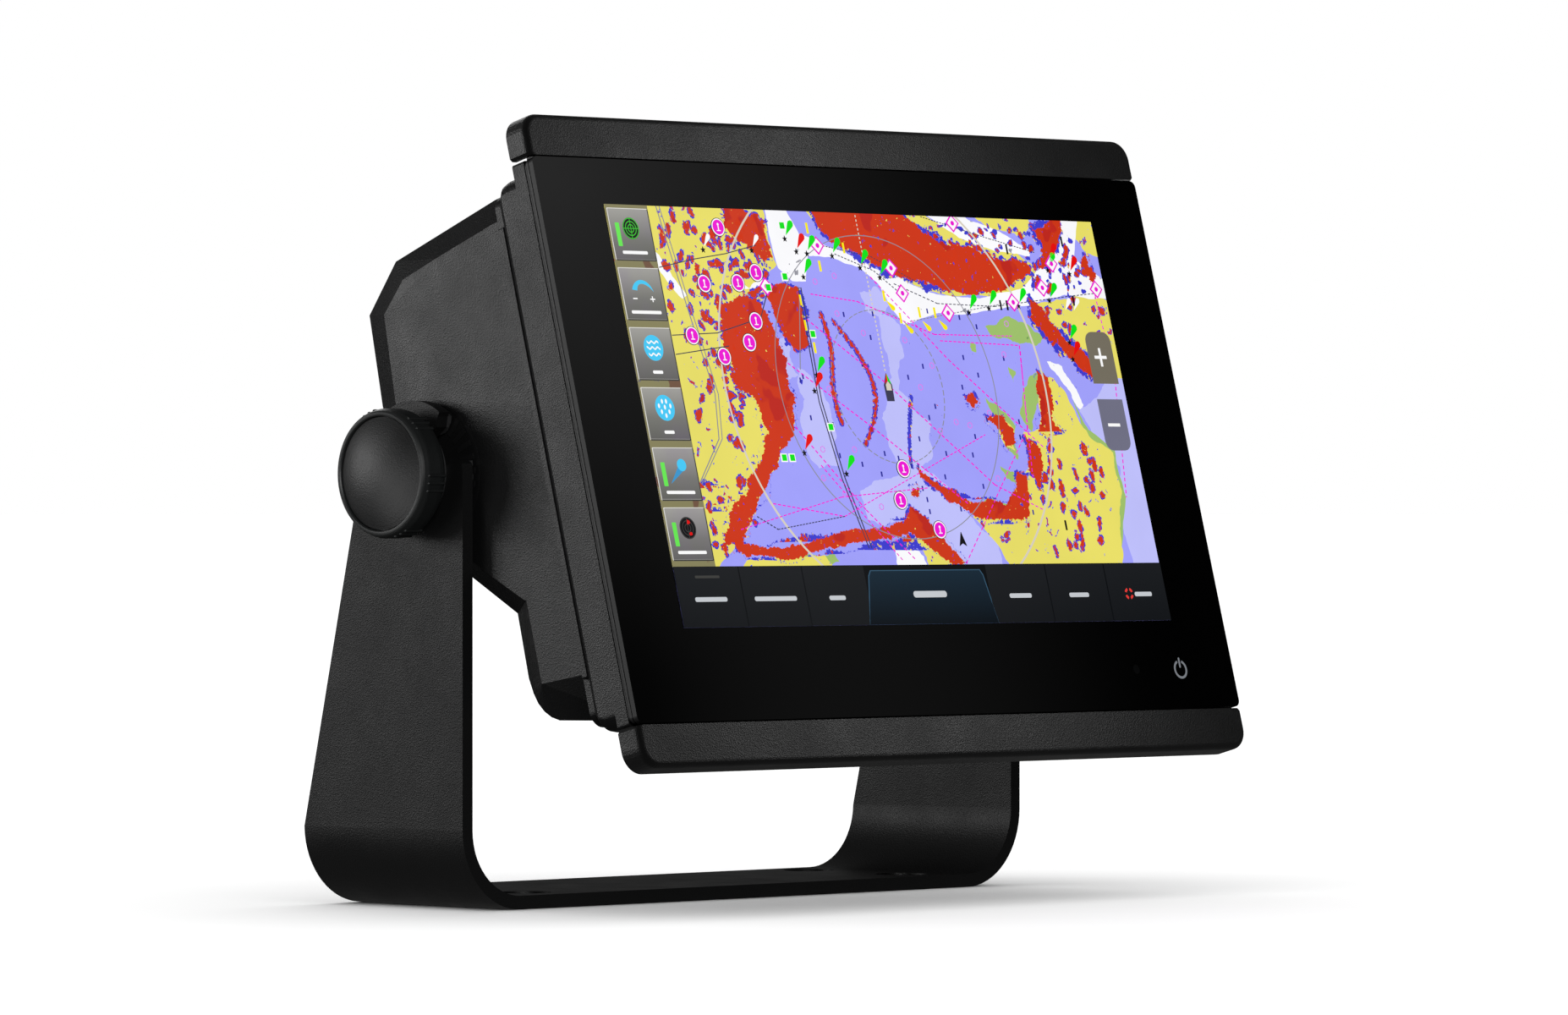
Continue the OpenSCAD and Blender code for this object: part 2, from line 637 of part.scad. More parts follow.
// tilt knobs, drawn for the right side -------------------------------------
knob_x = 3.4; // inner face of the knob, from the arm's outer face
knob_floor = 7.6; // floor of the recess that takes the cap
stud_end = 12.3;
rib_r = 0.55;
rib_end = 11.2;
// knob section: radius, distance from the inner face
knob_section = [[stud_r + 0.02, 0], [knob_r - 2.6, 0], [knob_r - 1.1, 0.6], [knob_r - 0.3, 1.8],
  [knob_r, 3.4], [knob_r, 7.4], [knob_r - 0.12, 8], [knob_r - 0.55, 9.3], [knob_r - 0.8, 9.75],
  [knob_r - 1.2, 10.08], [knob_r - 1.6, 10.2], [knob_r - 2, 10.08], [knob_r - 2.25, 9.75],
  [knob_r - 2.35, 9.3], [knob_r - 2.35, knob_floor], [stud_r + 0.02, knob_floor]];
// domed cap in the knob's recess
cap_r = knob_r - 2.6;
cap_edge = 1.7; // height of the dome's edge
cap_rise = 4.2;
dome_r = (cap_r * cap_r + cap_rise * cap_rise) / (2 * cap_rise);
cap_section = concat([[0, 0]], [for (i = [12:-1:0]) let (a = asin(cap_r / dome_r) * i / 12)
  [dome_r * sin(a), cap_edge + cap_rise - dome_r * (1 - cos(a))]]);

// display frame with x = 0 on the right arm's outer face
module from_arm() display() translate([arm_out, 0, 0]) children();
module spin(x, section)
  translate([x, 0, 0]) rotate([0, 90, 0]) rotate_extrude($fn = 96) polygon(section);

module washer() color([0.12, 0.12, 0.125]) from_arm() difference() {
  union() {
    rod_x([0.05, 1.8], 0, 0, 15);
    rod_x([1.7, 3.3], 0, 0, 13);
  }
  rod_x([-1, 5], 0, 0, stud_r + 0.08);
}
// six groups of three grip ribs
module ribs() for (group = [0:5], k = [-1:1])
  rotate([204 + 60 * group + 6.9 * k, 0, 0]) translate([0, knob_r - 0.25, 0]) {
    rod_x([4.8, rib_end], 0, 0, rib_r);
    translate([rib_end, 0, 0]) sphere(rib_r, $fn = 24);
  }
module knob() color(casing_black) from_arm() union() {
  spin(knob_x, knob_section);
  ribs();
}
module knob_cap() color([0.14, 0.14, 0.145]) from_arm() difference() {
  spin(knob_x + knob_floor + 0.02, cap_section);
  rod_x([9, stud_end + 0.1], 0, 0, stud_r + 0.02);
}
module stud() color(steel) display() rod_x([103, arm_out + stud_end], 0, 0, stud_r);
module left_washer() on_left() washer();
module left_knob() on_left() knob();
module left_knob_cap() on_left() knob_cap();
module left_stud() on_left() stud();
module right_washer() washer();
module right_knob() knob();
module right_knob_cap() knob_cap();
module right_stud() stud();

bracket();
left_ratchet_ring();
right_ratchet_ring();
front_glass();
glass_adhesive();
touch_sensor();
lcd_panel();
backlight_module();
front_bezel();
bezel_gasket();
mid_frame();
middle_housing();
housing_gasket();
rear_housing();
left_pivot_insert();
right_pivot_insert();
chassis_plate();
main_board();
processor_pad();
heat_spreader();
power_board();
gps_antenna();
beeper();
key_board();
light_pipe();
display_flex();
connector_board();
connector_flex();
power_connector();
data_connector();
network_connectors();
video_connector();
connector_pins();
connector_nuts();
connector_seals();
card_reader();
card_door();
card_door_pin();
card_door_gasket();
vent_plug();
housing_screws();
chassis_screws();
board_screws();
top_trim();
bottom_trim();
left_washer();
left_knob();
left_knob_cap();
left_stud();
right_washer();
right_knob();
right_knob_cap();
right_stud();
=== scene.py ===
# A chart display on a bracket, with a knob on each side, built on the CAD pieces.
# X runs to the right, the screen faces -Y and the device leans back about X; the floor is z = 0.
# The lit picture is a stack of thin plates standing on the cover glass.
import bpy, math, json, random
from mathutils import Vector, Matrix
from mathutils.geometry import tessellate_polygon


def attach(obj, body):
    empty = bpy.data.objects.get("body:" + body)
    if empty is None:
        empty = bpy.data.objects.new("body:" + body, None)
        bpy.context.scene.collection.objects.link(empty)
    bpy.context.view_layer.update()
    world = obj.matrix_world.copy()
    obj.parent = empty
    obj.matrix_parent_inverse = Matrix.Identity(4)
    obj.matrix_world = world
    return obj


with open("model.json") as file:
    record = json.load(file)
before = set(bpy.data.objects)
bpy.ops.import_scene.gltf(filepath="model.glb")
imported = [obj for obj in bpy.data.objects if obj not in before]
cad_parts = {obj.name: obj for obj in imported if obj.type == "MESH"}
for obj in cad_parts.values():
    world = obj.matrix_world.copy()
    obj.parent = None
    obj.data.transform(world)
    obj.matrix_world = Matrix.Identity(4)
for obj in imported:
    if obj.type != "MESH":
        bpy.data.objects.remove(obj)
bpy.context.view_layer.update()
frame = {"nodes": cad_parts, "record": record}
NODES = frame["nodes"]

MM = 0.001
DEVICE_HEIGHT = 0.1317          # metres from the floor to the device's own origin
TILT = math.radians(15.0)
DEVICE = Matrix.Translation((0, 0, DEVICE_HEIGHT)) @ Matrix.Rotation(-TILT, 4, 'X')
# millimetres in the device's own frame
GLASS_Y = -84.2                 # front face of the cover glass
BEZEL_EDGE_X = 134.3
SMOOTH_ANGLE = math.radians(33)


# ---------------------------------------------------------------- shader helper
class Shader:
    """Node tree of one material, ending in the given surface shader."""
    def __init__(self, name, surface='ShaderNodeBsdfPrincipled'):
        self.material = bpy.data.materials.new(name)
        self.material.use_nodes = True
        self.tree = self.material.node_tree
        self.tree.nodes.clear()
        output = self.node('ShaderNodeOutputMaterial')
        self.surface = self.node(surface)
        self.tree.links.new(self.surface.outputs[0], output.inputs[0])
        self.object_coords = None

    def node(self, kind, **settings):
        node = self.tree.nodes.new(kind)
        for key, value in settings.items():
            setattr(node, key, value)
        return node

    def feed(self, socket, value):
        """Links a socket to an input, or sets a plain value; colours may leave out alpha."""
        if isinstance(value, bpy.types.NodeSocket):
            self.tree.links.new(value, socket)
        elif isinstance(value, (tuple, list)):
            value = tuple(value)
            if socket.type == 'RGBA' and len(value) == 3:
                value += (1.0,)
            socket.default_value = value
        else:
            socket.default_value = value

    def build(self, **inputs):
        """Feeds the surface shader (underscores stand for spaces) and gives the material."""
        for key, value in inputs.items():
            self.feed(self.surface.inputs[key.replace('_', ' ')], value)
        return self.material

    def coords(self):
        if self.object_coords is None:
            self.object_coords = self.node('ShaderNodeTexCoord').outputs['Object']
        return self.object_coords

    def normal(self):
        return self.node('ShaderNodeTexCoord').outputs['Normal']

    def axis(self, vector, index):
        node = self.node('ShaderNodeSeparateXYZ')
        self.feed(node.inputs[0], vector)
        return node.outputs[index]

    def math(self, operation, a, b=None, clamp=False):
        node = self.node('ShaderNodeMath', operation=operation, use_clamp=clamp)
        self.feed(node.inputs[0], a)
        if b is not None:
            self.feed(node.inputs[1], b)
        return node.outputs[0]

    def dot(self, vector, direction):
        node = self.node('ShaderNodeVectorMath', operation='DOT_PRODUCT')
        self.feed(node.inputs[0], vector)
        self.feed(node.inputs[1], tuple(direction))
        return node.outputs['Value']

    def noise(self, scale, detail=3.0, roughness=0.55, distortion=0.0, vector=None):
        node = self.node('ShaderNodeTexNoise')
        self.feed(node.inputs['Vector'], vector or self.coords())
        node.inputs['Scale'].default_value = scale
        node.inputs['Detail'].default_value = detail
        node.inputs['Roughness'].default_value = roughness
        node.inputs['Distortion'].default_value = distortion
        return node.outputs['Fac']

    def cells(self, scale):
        node = self.node('ShaderNodeTexVoronoi')
        self.feed(node.inputs['Vector'], self.coords())
        node.inputs['Scale'].default_value = scale
        return node.outputs['Distance']

    def ramp(self, factor, stops):
        node = self.node('ShaderNodeValToRGB')
        elements = node.color_ramp.elements
        elements.remove(elements[-1])
        for i, (position, colour) in enumerate(stops):
            element = elements.new(position) if i else elements[0]
            element.position = position
            element.color = colour + (1.0,)
        self.feed(node.inputs[0], factor)
        return node.outputs[0]

    def mix(self, factor, a, b):
        node = self.node('ShaderNodeMix', data_type='RGBA')
        for i, value in ((0, factor), (6, a), (7, b)):
            self.feed(node.inputs[i], value)
        return node.outputs[2]

    def mix_float(self, factor, a, b):
        node = self.node('ShaderNodeMix', data_type='FLOAT')
        for i, value in ((0, factor), (2, a), (3, b)):
            self.feed(node.inputs[i], value)
        return node.outputs[0]

    def range(self, value, span, to=(0.0, 1.0)):
        """Maps the span onto `to`, clamped."""
        node = self.node('ShaderNodeMapRange', clamp=True)
        self.feed(node.inputs[0], value)
        for i, limit in enumerate(span + to, 1):
            node.inputs[i].default_value = limit
        return node.outputs[0]

    def bump(self, height, strength, distance):
        node = self.node('ShaderNodeBump')
        node.inputs['Strength'].default_value = strength
        node.inputs['Distance'].default_value = distance
        self.feed(node.inputs['Height'], height)
        return node.outputs[0]


def tint(colour, factor):
    return [x * factor for x in colour]


# ---------------------------------------------------------------- body materials
GRAIN_SCALE = 2300.0


def grained(name, base, roughness, specular=0.5, bump=0.42, slope_specular=None):
    """Charcoal plastic with a fine leather-like grain and slightly paler worn edges."""
    s = Shader(name)
    cells = s.cells(GRAIN_SCALE)
    fine = s.noise(GRAIN_SCALE * 0.9, detail=2.0, roughness=0.6)
    height = s.math('ADD', s.math('MULTIPLY', cells, 0.9), s.math('MULTIPLY', fine, 0.35))
    tone = s.noise(28.0, roughness=0.5)
    colour = s.mix(s.range(tone, (0.35, 0.7)), tint(base, 0.92), tint(base, 1.1))
    pits = s.math('MULTIPLY', s.range(cells, (0.0, 0.5)), 0.18)
    colour = s.mix(pits, colour, tint(base, 0.6))
    pointiness = s.node('ShaderNodeNewGeometry').outputs['Pointiness']
    wear = s.math('MULTIPLY', s.range(pointiness, (0.52, 0.60)), 0.15)
    colour = s.mix(wear, colour, [x * 2.1 + 0.01 for x in base])
    patches = s.range(s.noise(60.0, roughness=0.6), (0.3, 0.7),
                      to=(roughness - 0.04, roughness + 0.05))
    rough = s.math('ADD', patches, s.math('MULTIPLY', fine, 0.05))
    if slope_specular is not None:
        # the moulded sides are glossier than the sloped faces around them
        side = s.math('ABSOLUTE', s.axis(s.normal(), 0))
        upward = s.axis(s.normal(), 2)
        slope = s.math('MULTIPLY', s.range(upward, (0.15, 0.4), to=(0.5, 1.0)), slope_specular)
        turned = s.mix_float(s.range(side, (0.975, 0.99)), slope, specular)
        specular = s.mix_float(s.range(side, (0.30, 0.42)), specular, turned)
    return s.build(Base_Color=colour, Roughness=rough, Specular_IOR_Level=specular,
                   Normal=s.bump(height, strength=bump, distance=0.00016))


def smooth(name, base, roughness, bump, scale):
    s = Shader(name)
    broad = s.noise(scale, roughness=0.6)
    fine = s.noise(scale * 5, detail=2.0, roughness=0.6)
    return s.build(
        Base_Color=s.mix(s.range(broad, (0.3, 0.7)), tint(base, 1 - 0.06), tint(base, 1 + 0.06)),
        Roughness=s.range(fine, (0.25, 0.75), to=(roughness - 0.04, roughness + 0.05)),
        Normal=s.bump(fine, strength=bump, distance=0.0002))


def brushed(name, base, roughness):
    """Metal brushed along X."""
    s = Shader(name)
    mapping = s.node('ShaderNodeMapping')
    s.feed(mapping.inputs[0], s.coords())
    mapping.inputs['Scale'].default_value = (1.0, 30.0, 30.0)
    streaks = s.noise(120.0, roughness=0.6, vector=mapping.outputs[0])
    return s.build(
        Base_Color=s.mix(streaks, tint(base, 0.85), tint(base, 1.1)), Metallic=1.0,
        Roughness=s.range(streaks, (0.2, 0.8), to=(roughness - 0.06, roughness + 0.1)),
        Normal=s.bump(streaks, strength=0.08, distance=0.0001))


def circuit_board():
    s = Shader('circuit_board')
    brick = s.node('ShaderNodeTexBrick')
    s.feed(brick.inputs['Vector'], s.coords())
    brick.inputs['Scale'].default_value = 90.0
    brick.inputs['Mortar Size'].default_value = 0.03
    traces = s.range(brick.outputs['Fac'], (0.2, 0.6))
    board = s.mix(s.noise(60, detail=2), (0.008, 0.08, 0.035), (0.012, 0.12, 0.05))
    return s.build(Base_Color=s.mix(traces, board, (0.03, 0.2, 0.07)), Roughness=0.35,
                   Normal=s.bump(traces, strength=0.1, distance=0.0001))


def bezel():
    """Matt dark lip with black grooves set in from its outer edge."""
    s = Shader('bezel_plastic')
    side = s.math('ABSOLUTE', s.axis(s.coords(), 0))
    outer = s.range(side, ((BEZEL_EDGE_X - 1.0) * MM, (BEZEL_EDGE_X - 0.7) * MM))
    return s.build(Base_Color=s.mix(outer, (0.0006, 0.0006, 0.0006), (0.006, 0.006, 0.0063)),
                   Roughness=s.range(s.noise(900.0), (0.3, 0.7), to=(0.42, 0.5)),
                   Specular_IOR_Level=s.math('MULTIPLY', outer, 0.5))


def cover_glass():
    """Black glass: its ground edges are matt, its face is polished."""
    s = Shader('cover_glass_black')
    smudge = s.range(s.noise(9.0, detail=4.0, roughness=0.6), (0.35, 0.75), to=(0.03, 0.06))
    facing = s.dot(s.normal(), (0.0, -math.cos(TILT), math.sin(TILT)))
    face = s.range(facing, (0.90, 0.985))
    polished = s.mix(s.noise(15.0), (0.0008, 0.0008, 0.0009), (0.0012, 0.0012, 0.0013))
    return s.build(Base_Color=s.mix(face, (0.007, 0.007, 0.0073), polished),
                   Roughness=s.mix(face, (0.48, 0.48, 0.48), smudge), Specular_IOR_Level=0.5)


CASING = (0.0050, 0.0051, 0.0053)
# slot: material
BODY = {
    'casing': grained('casing_plastic', CASING, roughness=0.38, specular=0.45,
                      slope_specular=0.2),
    'trim': grained('trim_plastic', CASING, roughness=0.36),
    'bracket': grained('bracket_plastic', (0.0040, 0.0041, 0.0042), roughness=0.40,
                       specular=0.26),
    'knob_cap': grained('knob_cap_plastic', (0.0052, 0.0053, 0.0055), roughness=0.40, bump=0.3),
    'bezel': bezel(),
    'circuit_board': circuit_board(),
    'glass_front': cover_glass(),
}
# slot, material name, colour, roughness, bump strength, noise scale
for slot, name, *look in (
        ('ratchet', 'ratchet_plastic', (0.03, 0.03, 0.031), 0.45, 0.04, 300.0),
        ('knob_rubber', 'knob_rubber', (0.010, 0.0112, 0.0112), 0.42, 0.06, 500.0),
        ('seal', 'seal_rubber', (0.006, 0.006, 0.006), 0.7, 0.1, 300.0),
        ('flex', 'flex_film', (0.5, 0.25, 0.05), 0.3, 0.04, 300.0),
        ('aerial', 'aerial_ceramic', (0.6, 0.52, 0.4), 0.5, 0.04, 300.0),
        ('pad', 'thermal_pad', (0.35, 0.38, 0.5), 0.8, 0.04, 300.0),
        ('connector', 'connector_nylon', (0.012, 0.012, 0.012), 0.42, 0.04, 300.0),
        ('touch', 'touch_film', (0.4, 0.5, 0.52), 0.2, 0.04, 300.0),
        ('screen', 'lcd_glass', (0.2, 0.22, 0.3), 0.2, 0.04, 300.0),
        ('light_pipe', 'light_pipe_clear', (0.4, 0.45, 0.5), 0.15, 0.04, 300.0)):
    BODY[slot] = smooth(name, *look)
# slot, material name, colour, roughness
for slot, name, *look in (
        ('sheet_metal', 'sheet_metal', (0.7, 0.71, 0.72), 0.38),
        ('brass', 'brass_metal', (0.78, 0.58, 0.27), 0.28),
        ('stud', 'steel_stud', (0.6, 0.6, 0.62), 0.25),
        ('screws', 'steel_screws', (0.55, 0.55, 0.57), 0.3),
        ('contact', 'gold_contact', (0.85, 0.63, 0.25), 0.22)):
    BODY[slot] = brushed(name, *look)

# ---------------------------------------------------------------- CAD pieces
for part in frame["record"]["subparts"]:
    if part["node"] in NODES:
        materials = NODES[part["node"]].data.materials
        materials.clear()
        materials.append(BODY[part["material_slot"]])

for piece in NODES.values():
    if not piece.data.polygons:
        continue
    for face in piece.data.polygons:
        face.use_smooth = True
    piece.data.set_sharp_from_angle(angle=SMOOTH_ANGLE)

# bevel widths in millimetres
BEVELS = {
    'bracket': 0.9, 'top_trim': 0.4, 'bottom_trim': 0.4, 'front_glass': 0.5,
    'front_bezel': 0.15, 'mid_frame': 0.4, 'middle_housing': 0.8, 'rear_housing': 0.7,
    'left_knob': 0.3, 'right_knob': 0.3, 'left_washer': 0.3, 'right_washer': 0.3,
    'card_door': 0.5}
for name, width in BEVELS.items():
    bevel = NODES[name].modifiers.new('edge', 'BEVEL')
    bevel.width = width * MM
    bevel.segments = 3
    bevel.limit_method = 'ANGLE'
    bevel.angle_limit = SMOOTH_ANGLE
    bevel.harden_normals = False
    NODES[name].modifiers.new('normals', 'WEIGHTED_NORMAL').keep_sharp = True


def add_object(name, data):
    made = bpy.data.objects.new(name, data)
    bpy.context.scene.collection.objects.link(made)
    return made


# ---------------------------------------------------------------- screen materials
def srgb(colour):
    """Linear colour from 0-255 display values."""
    return tuple(((v / 255 + 0.055) / 1.055) ** 2.4 if v > 10 else v / 255 / 12.92
                 for v in colour)


def glow(shader, colour):
    """Ends a material as a lit picture under glass."""
    return shader.build(Base_Color=(0.001, 0.001, 0.001), Roughness=0.05,
                        Emission_Color=colour, Emission_Strength=1.0)


def lit(name, colour, *specks):
    """Lit colour; each speck is (noise scale, noise from, noise to, colour)."""
    s = Shader(name)
    base = srgb(colour)
    shade = s.mix(s.range(s.noise(40.0), (0.3, 0.7)), tint(base, 1 - 0.03), tint(base, 1 + 0.03))
    for scale, low, high, speck in specks:
        spots = s.noise(scale, roughness=0.6, distortion=0.3)
        shade = s.mix(s.range(spots, (low, high)), shade, srgb(speck))
    return glow(s, shade)


def key_face():
    """Grey gradient that repeats up the column, once per key."""
    plane_rise = 0.0218         # metres from the device origin up to the middle of the glass
    tilt_cosine = 0.9659
    first_key = 0.049           # metres up the glass, from the first repeat to the middle
    key_pitch = 0.01848
    s = Shader('key_face')
    rise = s.math('SUBTRACT', s.axis(s.coords(), 2), DEVICE_HEIGHT + plane_rise)
    z = s.math('DIVIDE', rise, tilt_cosine)
    along = s.math('FRACT', s.math('DIVIDE', s.math('ADD', z, first_key), key_pitch))
    shade = s.ramp(along, [(0.0, srgb((98, 98, 94))), (0.35, srgb((118, 118, 113))),
                           (0.82, srgb((158, 157, 152)))])
    haze = s.range(s.noise(45.0), (0.45, 0.75), to=(0.0, 0.25))
    return glow(s, s.mix(haze, shade, srgb((128, 108, 150))))


def menu_shade(name, low, high, haze):
    """Vertical gradient over the menu bar, with a faint haze."""
    s = Shader(name)
    z = s.axis(s.coords(), 2)
    rise = s.range(z, (DEVICE_HEIGHT - 0.0453, DEVICE_HEIGHT - 0.0295))
    shade = s.mix(rise, srgb(low), srgb(high))
    return glow(s, s.mix(s.math('MULTIPLY', s.noise(200.0), 0.05), shade, srgb(haze)))


def printed_symbol_painted_glow():
    s = Shader('printed_symbol_painted_glow')
    # printed grey symbol with a painted glow: the print also emits its own grey, so it reads lit
    # whatever the lamps do
    return s.build(Base_Color=s.mix(s.noise(400.0), (0.27, 0.29, 0.32), (0.33, 0.355, 0.385)),
                   Roughness=0.4, Specular_IOR_Level=0.3,
                   Emission_Color=(0.27, 0.29, 0.32), Emission_Strength=0.55)


def sensor_window():
    s = Shader('sensor_window')
    colour = s.mix(s.noise(500.0), (0.009, 0.0095, 0.0105), (0.012, 0.0125, 0.014))
    return s.build(Base_Color=colour, Roughness=0.12)


RED, BLUE, YELLOW = (205, 55, 24), (62, 62, 205), (232, 222, 104)
LILAC = (150, 150, 245)
# material name: colour, then its specks
LIT = {
    'chart_water': ((160, 160, 250), (420.0, 0.735, 0.74, (72, 72, 212)),
                    (700.0, 0.765, 0.77, (120, 225, 235)), (300.0, 0.765, 0.77, RED)),
    'chart_shallow': ((190, 191, 250),),
    'chart_channel': ((250, 250, 253), (150.0, 0.66, 0.67, (150, 150, 160))),
    'chart_land': (YELLOW, (300.0, 0.640, 0.645, LILAC), (300.0, 0.647, 0.652, BLUE),
                   (300.0, 0.675, 0.68, RED)),
    'chart_drying': ((158, 192, 108), (120.0, 0.66, 0.665, (120, 160, 90))),
    'chart_echo': (RED, (520.0, 0.675, 0.68, BLUE), (640.0, 0.70, 0.705, YELLOW),
                   (45.0, 0.60, 0.62, (188, 40, 30))),
    'chart_echo_fringe': (BLUE, (330.0, 0.60, 0.61, RED), (500.0, 0.62, 0.63, (235, 205, 90)),
                          (420.0, 0.63, 0.64, LILAC)),
    'chart_dimmed': ((134, 129, 92), (60.0, 0.60, 0.62, (112, 84, 66)),
                     (80.0, 0.66, 0.68, (96, 92, 120))),
    'line_grey': ((140, 140, 150),),
    'line_pale': ((214, 206, 190),),
    'line_dark': ((60, 60, 82),),
    'line_navy': ((44, 44, 150),),
    'line_pink': ((215, 120, 230),),
    'mark_magenta': ((235, 20, 210),),
    'mark_white': ((250, 250, 250),),
    'mark_green': ((10, 225, 25),),
    'mark_red': ((228, 16, 16),),
    'mark_yellow': ((248, 232, 20),),
    'mark_black': ((16, 16, 20),),
    'menu_gap': ((10, 12, 15),),
    'menu_label': ((196, 200, 205),),
    'home_edge': ((52, 84, 108),),
    'alert_red': ((225, 60, 55),),
    'button_edge': ((224, 223, 218),),
    'button_shade': ((62, 62, 60),),
    'key_bar_green': ((104, 232, 84),),
    'icon_cyan': ((70, 200, 245),),
    'icon_green': ((60, 190, 50),),
    'icon_trail': ((60, 150, 205),),
    'zoom_tab': ((116, 110, 96),),
    'zoom_tab_cool': ((112, 112, 132),),
}
INKS = {name: lit(name, *row) for name, row in LIT.items()}
for material in (
        key_face(), printed_symbol_painted_glow(), sensor_window(),
        menu_shade('menu_bar_shade', low=(20, 22, 25), high=(27, 29, 32), haze=(34, 37, 42)),
        menu_shade('menu_home_shade', low=(6, 13, 20), high=(22, 40, 54), haze=(26, 44, 58))):
    INKS[material.name] = material

# ---------------------------------------------------------------- outlines
# Screen coordinates are millimetres across the glass: x to the right, z up the glass.
LEFT, RIGHT, BOTTOM, TOP = -107.8, 109.3, -69.9, 60.3
CHART_BOTTOM = -51.3            # lower edge of the chart, above the menu bar
KEYS_RIGHT = -90.0              # right edge of the key column
LINES_LEFT = -89.5              # lines and rings stop here
SPOTS_LEFT = -89.8              # small echoes stop here
LAYER_STEP = 0.02
SCREEN_PLATES = []


def signed_area(poly):
    """Twice the area, positive when anticlockwise."""
    return sum(poly[i - 1][0] * poly[i][1] - poly[i][0] * poly[i - 1][1]
               for i in range(len(poly)))


def plates(name, layer, ink, polys):
    """One object of flat closed plates; their fronts stand `layer` steps off the glass."""
    y_front = (GLASS_Y - LAYER_STEP * layer) * MM
    y_back = (GLASS_Y - 0.002) * MM
    verts, faces = [], []
    for poly in polys:
        if signed_area(poly) < 0:
            poly = poly[::-1]
        count = len(poly)
        front = len(verts)
        back = front + count
        triangles = tessellate_polygon([[Vector((p[0], p[1], 0)) for p in poly]])
        verts += [(p[0] * MM, y_front, p[1] * MM) for p in poly]
        verts += [(p[0] * MM, y_back, p[1] * MM) for p in poly]
        for tri in triangles:
            a, b, c = (poly[i] for i in tri)
            turn = (b[0] - a[0]) * (c[1] - a[1]) - (c[0] - a[0]) * (b[1] - a[1])
            tri = tri if turn > 0 else tri[::-1]
            faces.append(tuple(front + i for i in tri))
            faces.append(tuple(back + i for i in tri[::-1]))
        for i in range(count):
            j = (i + 1) % count
            faces.append((front + i, back + i, back + j, front + j))
    mesh = bpy.data.meshes.new(name)
    mesh.from_pydata(verts, [], faces)
    mesh.transform(DEVICE)
    mesh.update()
    mesh.materials.append(INKS[ink])
    made = add_object(name, mesh)
    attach(made, 'display')
    SCREEN_PLATES.append(made)


def clipped(poly, left=LEFT):
    """Keeps an outline inside the lit chart and drops repeated points."""
    for axis, limit, below in ((0, RIGHT, True), (0, left, False),
                               (1, TOP, True), (1, CHART_BOTTOM, False)):
        cut = []
        for i in range(len(poly)):
            a, b = poly[i - 1], poly[i]
            a_in = (a[axis] <= limit) if below else (a[axis] >= limit)
            b_in = (b[axis] <= limit) if below else (b[axis] >= limit)
            if a_in != b_in:
                f = (limit - a[axis]) / (b[axis] - a[axis])
                cut.append((a[0] + f * (b[0] - a[0]), a[1] + f * (b[1] - a[1])))
            if b_in:
                cut.append(b)
        poly = cut
    distinct = []
    for p in poly:
        if not distinct or abs(p[0] - distinct[-1][0]) + abs(p[1] - distinct[-1][1]) > 1e-4:
            distinct.append(p)
    return distinct


def clipped_all(polys, left):
    """Clips outlines and leaves out those that fall outside."""
    return [cut for cut in (clipped(p, left) for p in polys) if len(cut) > 2]


def coast(points, amount, seed, step=1.2, jag=0.0):
    """Roughens an outline by midpoint displacement until its edges are down to `step`."""
    draw = random.Random(seed)
    for _ in range(7):
        finer, done = [], True
        for i in range(len(points)):
            a, b = points[i], points[(i + 1) % len(points)]
            finer.append(a)
            length = math.hypot(b[0] - a[0], b[1] - a[1])
            if length > step:
                done = False
                reach = amount * length + (0.16 * jag if length < 4 * step else 0.0)
                push = draw.uniform(-1, 1) * reach
                finer.append(((a[0] + b[0]) / 2 - (b[1] - a[1]) / length * push,
                              (a[1] + b[1]) / 2 + (b[0] - a[0]) / length * push))
        points = finer
        if done:
            break
    return clipped(points)


def grow(poly, distance):
    """Slightly larger copy of an outline, for the fringe behind an echo."""
    sign = 1 if signed_area(poly) > 0 else -1
    grown = []
    for i in range(len(poly)):
        a, b = poly[i - 1], poly[(i + 1) % len(poly)]
        length = math.hypot(b[0] - a[0], b[1] - a[1]) or 1.0
        grown.append((poly[i][0] + sign * (b[1] - a[1]) / length * distance,
                      poly[i][1] - sign * (b[0] - a[0]) / length * distance))
    return grown


def blob(x, z, half_x, half_z, seed, turn=0.0, sides=9, uneven=0.3):
    """Uneven ellipse, turned by `turn` radians."""
    draw = random.Random(seed)
    cosine, sine = math.cos(turn), math.sin(turn)
    points = []
    for i in range(sides):
        angle = 2 * math.pi * i / sides
        reach = 1 + draw.uniform(-uneven, uneven)
        dx, dz = half_x * reach * math.cos(angle), half_z * reach * math.sin(angle)
        points.append((x + dx * cosine - dz * sine, z + dx * sine + dz * cosine))
    return points


def arc(x, z, radius, start, end, steps):
    """Points along an arc, both ends included; angles in degrees."""
    angles = [math.radians(start + (end - start) * i / steps) for i in range(steps + 1)]
    return [(x + radius * math.cos(a), z + radius * math.sin(a)) for a in angles]


def disc(x, z, radius, steps=28):
    return arc(x, z, radius, 0.0, 360.0, steps)[:-1]


def band(x, z, radius, width, start, end, steps):
    """Curved strip along an arc."""
    return (arc(x, z, radius + width / 2, start, end, steps)
            + arc(x, z, radius - width / 2, start, end, steps)[::-1])


def ring(x, z, radius, width, parts=12, fill=1.0, steps=8):
    """Clipped strips around a circle; a fill below 1 leaves gaps between them."""
    strips = []
    for i in range(parts):
        start = 360.0 * i / parts
        strips.append(band(x, z, radius, width, start, start + 360.0 / parts * fill, steps))
    return clipped_all(strips, LINES_LEFT)


def ring_halves(x, z, radius, width):
    return [band(x, z, radius, width, start, start + 180, 14) for start in (0, 180)]


